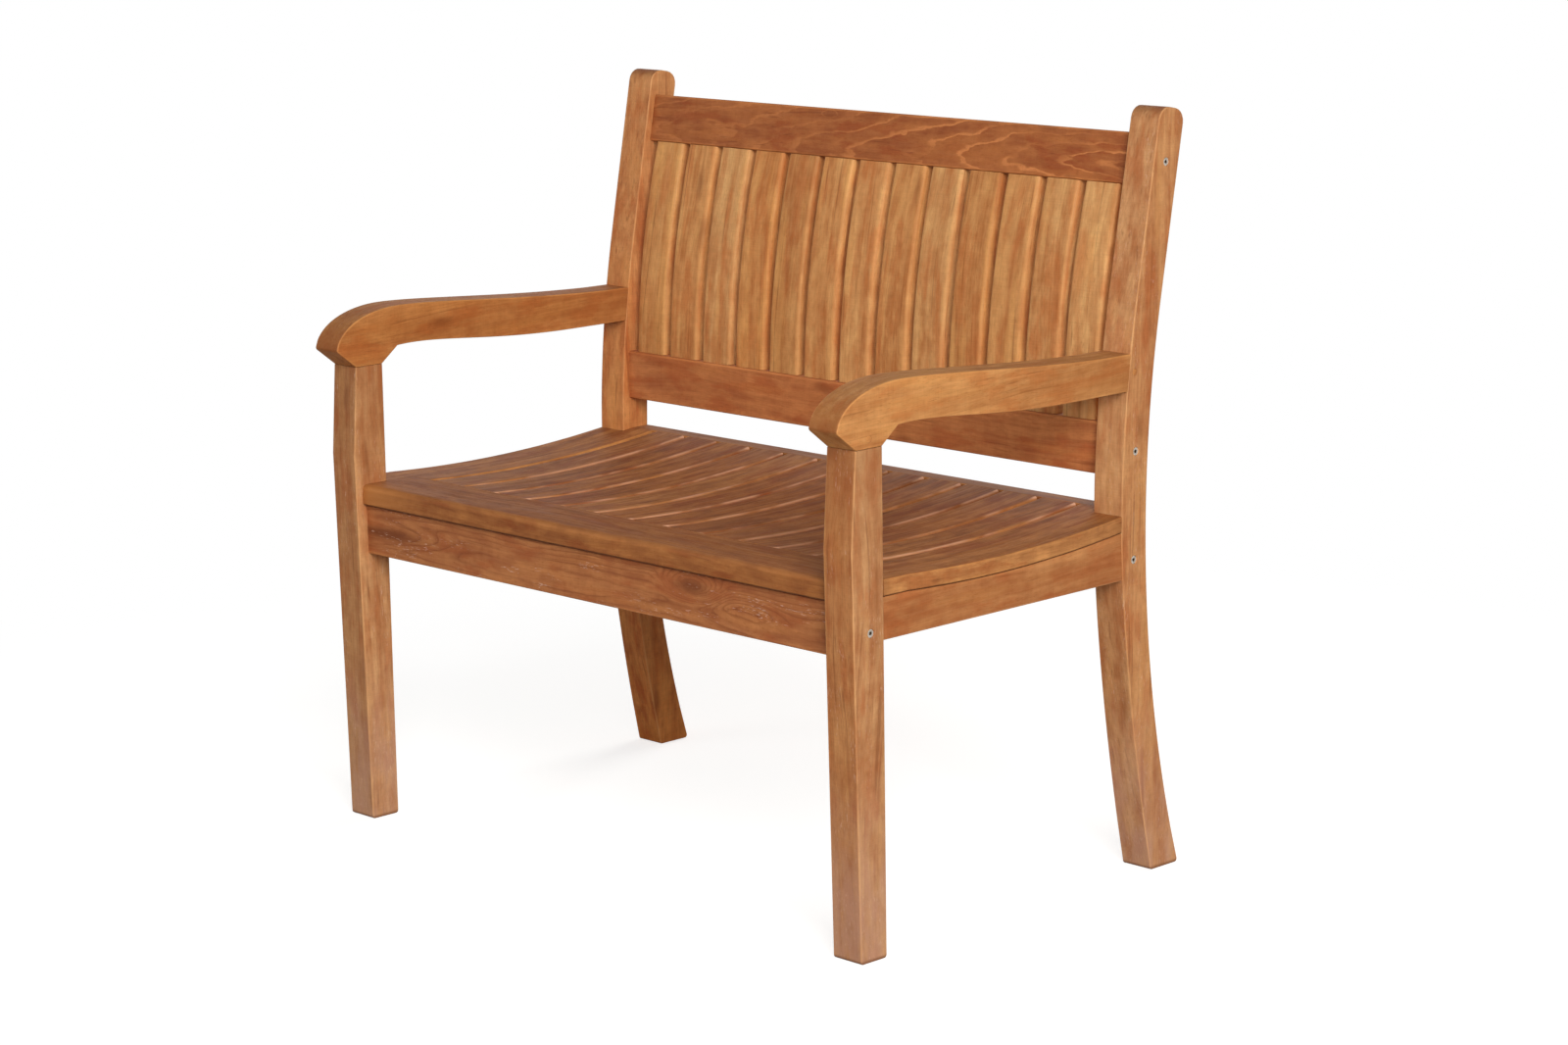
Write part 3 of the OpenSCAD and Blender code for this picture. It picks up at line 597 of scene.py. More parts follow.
def bore(bm, x, into, y, z, radius, depth, wear):
    """A round hole whose rim is worn, or darkened with grime, sunk from the face at x. Its outer
    ring is left for the face to join."""
    turns = [math.tau * k / ROUND for k in range(ROUND)]
    rings = []
    for r, sunk, arris in ((radius + RIM, 0, 0.0), (radius, RIM, wear), (radius, depth, -1.0)):
        circle = [Vector((y, z)) + r * Vector((math.cos(t), math.sin(t))) for t in turns]
        rings.append(ring_of(bm, x + into * sunk, circle, arris))
    bridge(bm, rings[0], rings[1])
    bridge(bm, rings[1], rings[2])
    bm.faces.new(rings[2])
    return rings[0]


def bores_in(loop, face):
    """The bores of the bolts and pegs that end in a board's outer face: where each is,
    its radius, its depth and the wear of its rim. Dirt has filled the line round a peg."""
    bores = []
    for node, depth, wear in (("rail_bolts", 7 * MM, 0.6), ("arm_pegs", 2 * MM, -0.8)):
        for lo, hi in islands(node):
            y, z = (lo.y + hi.y) / 2, (lo.z + hi.z) / 2
            inside = (min(p.x for p in loop) < y < max(p.x for p in loop)
                      and min(p.y for p in loop) < z < max(p.y for p in loop))
            if lo.x * face > 0 and inside:
                bores.append((face, y, z, (hi.z - lo.z) / 2 + ROOM, depth, wear))
    return bores


def eased_profile():
    """The rings of a board's eased edge and of the worn band on either side of it: how
    far each lies from the side and from the outline, and how worn it is."""
    edges = bpy.context.scene.bench_edges
    ease, band = edges.ease, edges.ease + edges.worn
    turns = [math.pi / 2 * k / EASE_STEPS for k in range(EASE_STEPS + 1)]
    rounded = [(ease * (1 - math.cos(t)), ease * (1 - math.sin(t)),
                0.45 + 0.55 * math.sin(2 * t)) for t in turns]
    return [(0, band, 0.0), *rounded, (band, 0, 0.0)]


def eased_board(loop, x0, x1, bores=()):
    """A board with that side outline between x0 and x1, its edges rounded."""
    bm = new_board()
    near = eased_profile()
    far = [(x1 - x0 - a, b, c) for a, b, c in reversed(near)]
    rings = [ring_of(bm, x0 + a, inset(loop, b), c) for a, b, c in near + far]
    for a, b in zip(rings, rings[1:]):
        bridge(bm, a, b)
    for rim, x, into in ((rings[0], x0, 1), (rings[-1], x1, -1)):
        cap(bm, rim, [bore(bm, x, into, *hole[1:]) for hole in bores if abs(hole[0] - x) < SAME])
    return bm


def swept_board(loop, x0, x1, joint_shade_side=0):
    """A straight board along X with that section, cut square at its ends. Tight curves of the
    section are its worn edges. Those on its top, where the last argument is 1, or on its
    underside, where it is -1, lie in a joint and are darkened instead: grime, and painted shadow
    under the overhanging board."""
    n = len(loop)
    middle = sum(loop, Vector((0, 0))) / n
    worn = []
    for i, p in enumerate(loop):
        length = ((p - loop[i - 1]).length + (loop[(i + 1) % n] - p).length) / 2
        wear = min(1, abs(turn_at(loop, i)) / length * TIGHT)
        # Edges in a joint get grime and painted shadow, as negative wear
        worn.append(-0.75 * wear if (p.y - middle.y) * joint_shade_side > 0 else wear)
    bm = new_board()
    ends = [ring_of(bm, x, loop, worn) for x in (x0, x1)]
    bridge(bm, *ends)
    for rim in ends:
        cap(bm, rim)
    return bm


def trim(bm, point, normal):
    """Cuts off what lies past a plane and closes the cut."""
    cut = cut_by(bm, point, normal)
    bmesh.ops.holes_fill(bm, edges=[e for e in cut if isinstance(e, bmesh.types.BMEdge)])


def shade_joint(bm, line, reach=2.5 * MM):
    """Darkens a board beside a joint, an open line in Y and Z: grime, and painted shadow where
    one board lies on another.
    """
    layer = bm.verts.layers.float["arris"]
    for v in bm.verts:
        near = 1 - abs(v.co.z - level_at(line, v.co.y)) / reach
        if near > 0:
            v[layer] = -near


def side_board(node, side, inside, step, ways=()):
    """A leg, an arm or a side rail, cut again from its outline `inside` its outer face,
    with a point every `step` along its curves. Its ends those ways stop short of the
    boards they meet."""
    lo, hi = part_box(node)
    face = outer_face(node, side)
    loop = outline_at(node, face - side * inside)
    bores, cuts = bores_in(loop, face), []
    for way in ways:
        loop, *cut = run_out(loop, way)
        cuts.append(cut)
    bm = eased_board(refined(loop, step, STRAIGHT), lo.x, hi.x, bores)
    for point, normal in cuts:
        trim(bm, point, normal)
    return bm


def end_board(node, side):
    """An end board of the seat. Its outer strip lies between the legs, and its inner one
    between the front and back boards. It is a grid of lines across it, each of which
    holds the rows of its own strip as points of the top and the underside."""
    lo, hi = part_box(node)
    outer, inner = (hi.x, lo.x) if side > 0 else (lo.x, hi.x)
    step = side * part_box("front_leg_right")[0].x
    # The top and underside of each strip, cut a little way inside it
    strips = [faces_of(outline_at(node, x), UP)
              for x in (step - side * 2 * MM, outer - side * 10 * MM)]
    spans = []
    for faces in strips:
        ends = [sorted((face[0].x, face[-1].x)) for face in faces]
        spans.append((max(first for first, last in ends), min(last for first, last in ends)))
    marks = sorted({y for span in spans for y in span})
    rows, apart = [marks[0]], 20 * MM
    for a, b in zip(marks, marks[1:]):
        count = math.ceil((b - a) / apart)
        rows += [a + (b - a) * k / count for k in range(1, count + 1)]

    near = eased_profile()
    lines = [(inner + side * a, b, c, {0}) for a, b, c in near]
    lines += [(step, 0, 0.0, {0, 1})]
    lines += [(outer - side * a, b, c, {1}) for a, b, c in reversed(near)]
    bm = new_board()
    layer = bm.verts.layers.float["arris"]
    grid = []
    for x, drop, worn, own in lines:
        line = {}
        for k, y in enumerate(rows):
            held = [n for n in (0, 1) if spans[n][0] - SAME <= y <= spans[n][1] + SAME]
            if own & set(held):
                top, low = strips[held[0]]
                ends = (level_at(top, y) - drop, level_at(low, y) + drop)
                line[k] = [bm.verts.new((x, y, z)) for z in ends]
                for v in line[k]:
                    v[layer] = worn
        grid.append(line)

    def gaps(*lines):
        """The gaps between rows that all of those lines hold."""
        return [k for k in range(len(rows) - 1)
                if all(n in line for line in lines for n in (k, k + 1))]

    for a, b in zip(grid, grid[1:]):
        for k in gaps(a, b):
            for e in (0, 1):
                bm.faces.new((a[k][e], a[k + 1][e], b[k + 1][e], b[k][e]))
    # Its two sides, and the step where only one strip goes on
    first, middle, last = grid[0], grid[len(near)], grid[-1]
    both = gaps(first, last)
    for line in (first, last, middle):
        for k in gaps(line):
            if line is not middle or k not in both:
                bm.faces.new((line[k][0], line[k + 1][0], line[k + 1][1], line[k][1]))
    for strip in (grid[: len(near) + 1], grid[len(near) :]):
        held = sorted(set(strip[0]) & set(strip[-1]))
        for k in (held[0], held[-1]):
            bm.faces.new([line[k][0] for line in strip]
                         + [line[k][1] for line in strip[::-1]])
    # Painted shadow, with grime, along its underside where it lies on the side rail
    shade_joint(bm, strips[1][1])
    return bm


def tinted(light, red=0.0):
    """What a board's colour is multiplied by: light above nought is paler than its like,
    and red above nought is redder."""
    level = 1 + 0.4 * light
    return Vector((level * (1 + 0.05 * red), level * (1 - 0.12 * red), level * (1 - 0.3 * red)))


def lay_grain(bm, along, heart, seed, tone=(0.0, 0.0), lean=0.0, flank=None, far=None):
    """Writes each point's place in the tree: millimetres along the grain, then across it from
    the heart, which lies at `heart` off the board's middle and comes nearer by `lean` for each
    millimetre of length. `along` is X, Y or Z. The sides that look along X may have a tone of
    their own, `flank`, which is partly the wood's own tone and partly painted light and shade,
    for sides that the light reaches more or less than the rest. The board's far end may have a
    tone of its own too, `far`."""
    axes = {"X": (0, 2, 1), "Y": (1, 0, 2), "Z": (2, 0, 1)}[along]
    vectors, floats = bm.verts.layers.float_vector, bm.verts.layers.float
    places, tints, ends = vectors.new("grain"), vectors.new("tint"), floats.new("ends")
    start = random.Random(seed).uniform(-TREE, TREE)
    lows = [min(v.co[k] for v in bm.verts) for k in range(3)]
    highs = [max(v.co[k] for v in bm.verts) for k in range(3)]
    middle = [(a + b) / 2 for a, b in zip(lows, highs)]
    bmesh.ops.recalc_face_normals(bm, faces=bm.faces)
    bm.normal_update()
    for v in bm.verts:
        p = [(v.co[k] - middle[k]) / MM for k in axes]
        v[places] = (p[0] + start, p[1] + heart[0], p[2] + heart[1] - lean * p[0])
        v[ends] = abs(v.normal[axes[0]]) ** 3
        v[tints] = tinted(*(flank if flank and abs(v.normal.x) > 0.7 else tone))
        if far:
            k = axes[0]
            v[tints] = v[tints].lerp(tinted(*far), (v.co[k] - lows[k]) / (highs[k] - lows[k]))


def add_piece(name, bm, material, nodes):
    """Makes a finished board the piece that stands for its nodes."""
    for e in bm.edges:
        if e.calc_face_angle(0) > CREASE:
            e.smooth = False
    for f in bm.faces:
        f.smooth = True
    mesh = bpy.data.meshes.new(name)
    bm.to_mesh(mesh)
    bm.free()
    mesh.materials.append(material)
    obj = linked(name, mesh)
    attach(obj, "root")
    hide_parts(*nodes)
    return obj


# ---- Rows, made by geometry nodes ----


def row_tree(name, sizes):
    """A tree of geometry nodes that puts one thing on each point, and its inputs: those
    sizes, as numbers or vectors, and a material."""
    tree = bpy.data.node_groups.new(name, "GeometryNodeTree")
    face = tree.interface
    face.new_socket("Geometry", in_out="INPUT", socket_type="NodeSocketGeometry")
    for label, kind in (*sizes, ("Material", "Material")):
        face.new_socket(label, in_out="INPUT", socket_type=f"NodeSocket{kind}")
    face.new_socket("Geometry", in_out="OUTPUT", socket_type="NodeSocketGeometry")
    return tree, tree.nodes.new("NodeGroupInput").outputs


def grown(name, tree, points, values, sizes):
    """Runs a tree of geometry nodes on points that carry vectors, and gives its mesh."""
    mesh = bpy.data.meshes.new(name)
    mesh.from_pydata(points, [], [])
    for key, vectors in values.items():
        layer = mesh.attributes.new(key, "FLOAT_VECTOR", "POINT")
        for spot, vector in zip(layer.data, vectors):
            spot.vector = vector
    obj = linked(name, mesh)
    nodes = obj.modifiers.new(tree.name, "NODES")
    nodes.node_group = tree
    for item in tree.interface.items_tree:
        if item.item_type == "SOCKET" and item.in_out == "INPUT" and item.name in sizes:
            nodes[item.identifier] = sizes[item.name]
    seen = obj.evaluated_get(bpy.context.evaluated_depsgraph_get())
    plain = bpy.data.meshes.new_from_object(seen)
    obj.modifiers.remove(nodes)
    bpy.data.objects.remove(obj)
    bm = bmesh.new()
    bm.from_mesh(plain)
    bpy.data.meshes.remove(plain)
    if not bm.verts:
        raise RuntimeError(f"{name}: the nodes made nothing")
    return bm


def arc_of(node, inside, front):
    """The arc that a slat is bent along, in the middle of its thickness: centre, radius,
    start and end angle, and the thickness. The slat is cut `inside` its side, past its
    tenons, and its face is the side that looks towards `front`."""
    face, back = faces_of(outline_at(node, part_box(node)[1].x - inside), front)
    a, b, c = face[0], face[len(face) // 2], face[-1]
    d = 2 * (a.x * (b.y - c.y) + b.x * (c.y - a.y) + c.x * (a.y - b.y))
    s = [p.length_squared for p in (a, b, c)]
    centre = Vector((
        (s[0] * (b.y - c.y) + s[1] * (c.y - a.y) + s[2] * (a.y - b.y)) / d,
        (s[0] * (c.x - b.x) + s[1] * (a.x - c.x) + s[2] * (b.x - a.x)) / d))
    outer = (a - centre).length
    inner = sum((p - centre).length for p in back) / len(back)
    radius = (outer + inner) / 2
    way = (b - centre).normalized()
    turns = [way.angle_signed(p - centre) * -1 for p in (*face, *back)]
    middle, spare = math.atan2(way.y, way.x), 5 * MM / radius
    return (centre, radius, middle + min(turns) - spare, middle + max(turns) + spare,
            abs(outer - inner))


def slat_tree():
    """Slats alike: a rounded rectangle swept along an arc through three places. Writes
    how worn each edge is and its place in the grain."""
    tree, into = row_tree("Bowed slats", (
        ("Width", "Float"), ("Thickness", "Float"), ("Front radius", "Float"),
        ("Back radius", "Float"), ("Start", "Vector"), ("Middle", "Vector"),
        ("End", "Vector"), ("Detail", "Float")))
    put = partial(add, tree)

    section = put("GeometryNodeCurvePrimitiveQuadrilateral", {"mode": "RECTANGLE"},
                  Width=into["Width"], Height=into["Thickness"])
    place = put("ShaderNodeSeparateXYZ", None, put("GeometryNodeInputPosition"))
    over, up = place.outputs["X"], place.outputs["Y"]
    larger = put(MATH, "SUBTRACT", into["Front radius"], into["Back radius"])
    radius = put(MATH, "MULTIPLY_ADD", put(MATH, "GREATER_THAN", up, 0.0), larger,
                 into["Back radius"])
    section = put("GeometryNodeFilletCurve", {"mode": "POLY"}, Curve=section, Count=5,
                  Radius=radius)
    section = put("GeometryNodeResampleCurve", {"mode": "LENGTH"}, Curve=section,
                  Length=into["Detail"])
    # How far inside the corner of the section a point lies, against the corner's radius
    aside, below = (
        put(MATH, "SUBTRACT", put(MATH, "MULTIPLY", size, 0.5), put(MATH, "ABSOLUTE", at))
        for size, at in ((into["Width"], over), (into["Thickness"], up)))
    inside = put(MATH, "DIVIDE", put(MATH, "MAXIMUM", aside, below), radius)
    worn = put(RANGE, SOFT, inside, 1.4, 0.25)
    for name, value in (("arris", worn), ("over", over), ("up", up)):
        section = put("GeometryNodeStoreNamedAttribute", Geometry=section, Name=name,
                      Value=value)
    line = put("GeometryNodeCurveArc", {"mode": "POINTS"}, Resolution=28,
               Start=into["Start"], Middle=into["Middle"], End=into["End"])
    run = put("GeometryNodeSplineParameter")
    line = put("GeometryNodeStoreNamedAttribute", Geometry=line, Name="run",
               Value=run.outputs["Length"])
    line = put("GeometryNodeSetCurveNormal", {"mode": "FREE"}, Curve=line,
               Normal=(1.0, 0.0, 0.0))
    slat = put("GeometryNodeCurveToMesh", Curve=line, Profile_Curve=section,
               Fill_Caps=True)
    slats = put("GeometryNodeInstanceOnPoints", Points=into["Geometry"], Instance=slat)
    slats = put("GeometryNodeRealizeInstances", Geometry=slats)

    run, over, up, shift = (
        put("GeometryNodeInputNamedAttribute", {"data_type": kind}, Name=name)
        for name, kind in (("run", "FLOAT"), ("over", "FLOAT"), ("up", "FLOAT"),
                           ("shift", "FLOAT_VECTOR")))
    grain = put("ShaderNodeCombineXYZ", X=run, Y=over, Z=up)
    grain = put(VECTOR, "MULTIPLY_ADD", grain, (1 / MM, 1 / MM, 1 / MM), shift)
    slats = put("GeometryNodeStoreNamedAttribute", {"data_type": "FLOAT_VECTOR"},
                Geometry=slats, Name="grain", Value=grain)
    slats = put("GeometryNodeSetMaterial", Geometry=slats, Material=into["Material"])
    put("NodeGroupOutput", None, slats)
    return tree


def plug_tree():
    """Round plugs alike, lying along X with domed ends."""
    tree, into = row_tree("Round plugs", (
        ("Radius", "Float"), ("Length", "Float"), ("Dome", "Float")))
    put = partial(add, tree)

    plug = put("GeometryNodeMeshCylinder", {"fill_type": "TRIANGLE_FAN"}, Vertices=ROUND,
               Side_Segments=1, Fill_Segments=5, Radius=into["Radius"],
               Depth=into["Length"])
    place = put("ShaderNodeSeparateXYZ", None, put("GeometryNodeInputPosition"))
    x, y, radius = (put(MATH, "POWER", at, 2.0) for at in (
        place.outputs["X"], place.outputs["Y"], into["Radius"]))
    out = put(MATH, "DIVIDE", put(MATH, "ADD", x, y), radius)
    sink = put(MATH, "MULTIPLY", out, into["Dome"])
    for way in (put(MATH, "SIGN", place.outputs["Z"]), -1.0):
        sink = put(MATH, "MULTIPLY", sink, way)
    plug = put("GeometryNodeSetPosition", Geometry=plug,
               Offset=put("ShaderNodeCombineXYZ", Z=sink))
    plug = put("GeometryNodeStoreNamedAttribute", Geometry=plug, Name="arris",
               Value=put(RANGE, None, out, 0.6))
    plug = put("GeometryNodeTransform", Geometry=plug, Rotation=(0.0, math.pi / 2, 0.0))
    plugs = put("GeometryNodeInstanceOnPoints", Points=into["Geometry"], Instance=plug)
    plugs = put("GeometryNodeRealizeInstances", Geometry=plugs)
    plugs = put("GeometryNodeSetMaterial", Geometry=plugs, Material=into["Material"])
    put("NodeGroupOutput", None, plugs)
    return tree


def slats_of(stem, count, inside, front, radii, cuts, seed, material, tones, hearts,
             end_highlight=1.0):
    """A row of bowed slats cut off at planes, as a mesh, and the nodes it stands for. The last
    argument makes the pale of their worn edges that many times as strong at their ends: a
    painted highlight where the slats' ends catch the light. `hearts` is how far the heart of the
    tree may lie beside a slat, and the least and most that it lies behind or before."""
    names = [f"{stem}{i:02d}" for i in range(1, count + 1)]
    boxes = [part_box(n) for n in names]
    centre, radius, start, end, thick = arc_of(names[0], inside, front)
    around = [(0.0, centre.x + radius * math.cos(t), centre.y + radius * math.sin(t))
              for t in (start, (start + end) / 2, end)]
    chance = random.Random(seed)
    shifts = [(chance.uniform(-TREE, TREE), chance.uniform(-1, 1) * hearts[0],
               chance.choice((-1, 1)) * chance.uniform(hearts[1], hearts[2])) for _ in names]
    sizes = {
        "Width": boxes[0][1].x - boxes[0][0].x, "Thickness": thick, "Front radius": radii[0],
        "Back radius": radii[1], "Start": around[0], "Middle": around[1], "End": around[2],
        "Detail": bpy.context.scene.bench_edges.slat_step, "Material": material}
    bm = grown(
        stem + "row", slat_tree(), [((lo.x + hi.x) / 2, 0, 0) for lo, hi in boxes],
        {"shift": shifts, "tint": [tinted(*tone) for tone in tones]}, sizes)
    layer = bm.verts.layers.float["arris"]
    for point, normal in cuts:
        trim(bm, point, normal)
        # Painted highlight: the worn edges grow paler where the slats are cut off
        for v in bm.verts:
            if abs((v.co - Vector(point)).dot(normal)) < 0.01 * MM:
                v[layer] *= end_highlight
    bmesh.ops.recalc_face_normals(bm, faces=bm.faces)
    return bm, names


# ---- Operators ----


class BENCH_OT_legs(bpy.types.Operator):
    """Cuts the four legs, with the sunk holes of their bolts and pegs"""

    bl_idname = "bench.legs"
    bl_label = "Legs"

    def execute(self, context):
        wood = teak("Teak, sanded, legs", "leg", rings=4.2, dusty=0.6, scuffs=0.35)
        # The rear left leg's copy has no pale dust or scuffs: painted shade, keeping that leg
        # dark and red where it stands in the seat's shadow. Its strong red tone, weaker at the
        # top, is partly painted shade too.
        shadowed = teak("Teak, sanded, sheltered leg", "leg", rings=4.2)
        # Where each meets a board, its seed, and the tones of its front, its outer side and its
        # top. The outer side's tone is partly painted light and shade, for how the light falls
        # on that side.
        for node, side, ways, seed, tone, flank, far, finish in (
                ("front_leg_left", -1, [UP], 10, (-0.38, 0.3), (0.2, 0.0), None, wood),
                ("front_leg_right", 1, [UP], 12, (-0.38, 0.85), (0.0, 0.0), None, wood),
                ("rear_leg_left", -1, [], 22, (0.05, 1.9), (0.1, 1.9), (0.14, 0.6),
                 shadowed),
                ("rear_leg_right", 1, [], 24, (0.18, 0.0), (0.0, 0.4), None, wood)):
            bm = side_board(node, side, 6.5 * MM, 7 * MM, ways)
            lay_grain(bm, "Z", (38 * side, -24), seed, tone, 0.015 * side, flank, far)
            add_piece(f"sanded_{node}", bm, finish, [node])
        return {"FINISHED"}


class BENCH_OT_arms(bpy.types.Operator):
    """Cuts the two arms with their scrolled noses"""

    bl_idname = "bench.arms"
    bl_label = "Arms"

    def execute(self, context):
        wood = teak("Teak, sanded, arms", "arm", rings=4.6)
        for (hand, side), tone in zip(HANDS, ((-0.4, 0.4), (0.08, -0.3))):
            node = f"armrest_{hand}"
            bm = side_board(node, side, 5 * MM, 6 * MM, [BACK])
            lay_grain(bm, "Y", (30 * side, 46), 41 + side, tone, 0.02)
            add_piece(f"sanded_{node}", bm, wood, [node])
        return {"FINISHED"}


class BENCH_OT_rails(bpy.types.Operator):
    """Cuts the rails between the legs and the bearer under the seat"""

    bl_idname = "bench.rails"
    bl_label = "Rails"

    def execute(self, context):
        edges = context.scene.bench_edges
        wood = teak("Teak, sanded, rails", "rail", rings=6.0, stain=0.5)
        flame = teak("Teak, sanded, flamed top rail", "rail", rings=11.0, lines=1.0,
                     pale_lines=True, stain=0.6)
        side_wood = teak("Teak, sanded, side rails", "leg")
        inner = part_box("rear_leg_right")[0].x
        rail_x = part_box("side_rail_right")[0].x
        between = between_slats()
        # Where each is cut, how far it reaches, and the seed, heart, tone and lean of its
        # grain
        for node, x, reach, seed, heart, tone, lean, finish in (
                ("front_rail", 0, inner, 70, (12, 34), (0.22, -0.5), 0.02, self.knotty()),
                ("rear_seat_rail", 0, inner, 74, (8, 40), (0.0, 0.0), 0.0, wood),
                # Its pale tone is painted light, lifting the shade that the arms and the seat
                # cast on it
                ("lower_back_rail", between, inner, 75, (-18, 36), (0.9, -0.3), 0.015, wood),
                ("top_back_rail", between, inner, 73, (4, 70), (-0.35, 0.4), 0.13, flame),
                ("seat_bearer", 0, rail_x, 71, (10, 60), (-0.2, 0.0), 0.0, wood)):
            loop = refined(outline_at(node, x), 1.5 * MM, 8 * MM, edges.worn)
            # The front rail's top edges are darkened: grime, and painted shadow under the front
            # board
            bm = swept_board(loop, edges.joint - reach, reach - edges.joint,
                             joint_shade_side=1 if node == "front_rail" else 0)
            lay_grain(bm, "X", heart, seed, tone, lean)
            add_piece(f"sanded_{node}", bm, finish, [node])
        for hand, side in HANDS:
            node = f"side_rail_{hand}"
            bm = side_board(node, side, 4 * MM, 8 * MM, [BACK, FORE])
            # Painted shadow, with grime, along its top under the end board
            above = outline_at(f"seat_end_board_{hand}", outer_face(node, side) - side * 9 * MM)
            shade_joint(bm, faces_of(above, UP)[1])
            lay_grain(bm, "Y", (26 * side, 20), 71 + side, (-0.03, 0.9), 0.02)
            add_piece(f"sanded_{node}", bm, side_wood, [node])
        return {"FINISHED"}

    def knotty(self):
        """The front rail's wood: a knot's swirl lies to the right of its middle, and its
        left end is dark."""
        lo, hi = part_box("front_rail")
        middle = (lo.z + hi.z) / 2
        return teak(
            "Teak, sanded, knotty front rail", "rail", rings=6.0, lines=0.8, stain=0.5,
            scuffs=0.5, eyes=(
                ((0.19, lo.y, middle + 0.015), (0.08, 0.03, 0.028), 30, 0.8),
                ((0.28, lo.y, middle - 0.002), (0.09, 0.03, 0.03), -13, 0.0),
                ((-0.39, lo.y, middle - 0.001), (0.2, 0.03, 0.024), 14, 0.9)))


class BENCH_OT_seat(bpy.types.Operator):
    """Cuts the seat's front and back boards and the two notched end boards"""

    bl_idname = "bench.seat"
    bl_label = "Seat boards"

    def execute(self, context):
        wood = teak("Teak, sanded and weathered, seat", "seat", stain=0.6)
        # The front board is paler at its left end
        lo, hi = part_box("seat_front_board")
        pale_end = teak("Teak, sanded and weathered, seat front", "seat", stain=0.6,
                        eyes=(((lo.x, lo.y, hi.z), (0.26, 0.09, 0.12), 0, -0.75),))
        for node, seed, heart, tone, far, finish in (
                ("seat_front_board", 96, (20, 44), (0.25, 0.2), (0.05, 0.3), pale_end),
                ("seat_back_board", 95, (-16, 40), (0.0, 0.0), None, wood)):
            lo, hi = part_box(node)
            loop = refined(outline_at(node, 0), 1.6 * MM, 9 * MM,
                           context.scene.bench_edges.worn)
            # Their undersides are darkened: grime, and painted shadow where they lie on the
            # rails
            bm = swept_board(loop, lo.x, hi.x, joint_shade_side=-1)
            lay_grain(bm, "X", heart, seed, tone, far=far)
            add_piece(f"sanded_{node}", bm, finish, [node])
        for hand, side in HANDS:
            node = f"seat_end_board_{hand}"
            bm = end_board(node, side)
            # Their sides that look along X are paler and less red: partly painted light, as
            # those sides catch more light than the top
            lay_grain(bm, "Y", (24 * side, 42), 91 + side, (0.25, 0.0), flank=(0.7, -0.7))
            add_piece(f"sanded_{node}", bm, wood, [node])
        return {"FINISHED"}


class BENCH_OT_seat_slats(bpy.types.Operator):
    """Bends the row of seat slats into the scoop of the seat"""

    bl_idname = "bench.seat_slats"
    bl_label = "Seat slats"

    def execute(self, context):
        joint = context.scene.bench_edges.joint
        # Their pale worn edges, pinker and stronger than elsewhere, are partly wear and partly
        # painted highlight along the slats' rounded edges
        wood = teak("Teak, sanded and weathered, seat slats", "seat", lines=0.4, stain=0.7,
                    bare=linear("#dba583"), rubbing=0.75)
        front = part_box("seat_front_board")[1].y + joint
        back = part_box("seat_back_board")[0].y - joint
        tones = list(zip(
            (0.15, -0.18, 0.1, -0.12, 0.25, -0.05, -0.3, -0.5, 0.05, -0.25, -0.1, -0.12),
            (0.0, 0.2, 0.1, 0.3, -0.2, 0.4, 0.6, 0.7, 0.3, 0.5, 0.35, 0.1)))
        # The last number makes the pale edges three times as strong at the slats' ends: painted
        # highlight
        bm, names = slats_of(
            "seat_slat_", 12, 3.8 * MM, UP, (6 * MM, 2.5 * MM),
            (((0, front, 0), Vector((0, -1, 0))), ((0, back, 0), Vector((0, 1, 0)))), 5, wood,
            tones, (22, 20, 50), 3.0)
        add_piece("sanded_seat_slats", bm, wood, names)
        return {"FINISHED"}


class BENCH_OT_back_slats(bpy.types.Operator):
    """Bends the row of back slats forward between their rails"""

    bl_idname = "bench.back_slats"
    bl_label = "Back slats"

    def execute(self, context):
        joint = context.scene.bench_edges.joint
        wood = teak("Teak, sanded, back slats", "slat", rings=4.4, rubbing=0.25)
        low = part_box("lower_back_rail")[1].z + joint
        # The top rail's underside is its long side that looks down
        rail = refined(outline_at("top_back_rail", between_slats()), 1.0, 8 * MM)
        sides = [(p, q - p) for p, q in zip(rail, rail[1:] + rail[:1])]
        at, under = max((one for one in sides if one[1].length > 15 * MM),
                        key=lambda one: one[1].x)
        normal = Vector((0, -under.y, under.x)).normalized()
        point = Vector((0, at.x, at.y)) - normal * joint
        tones = list(zip(
            (0.0, 0.1, 0.4, 0.0, -0.2, 0.1, 0.3, -0.05, 0.2, -0.2, 0.0, 0.15, 0.35),
            (0.2, 0.15, -0.5, 0.5, 0.3, 0.15, -0.1, 0.3, -0.3, 0.4, 0.2, -0.25, -0.4)))
        bm, names = slats_of(
            "back_slat_", 13, 4.8 * MM, FORE, (5 * MM, 1.5 * MM),
            (((0, 0, low), Vector((0, 0, -1))), (point, normal)), 8, wood, tones, (20, 18, 45))
        add_piece("sanded_back_slats", bm, wood, names)
        return {"FINISHED"}


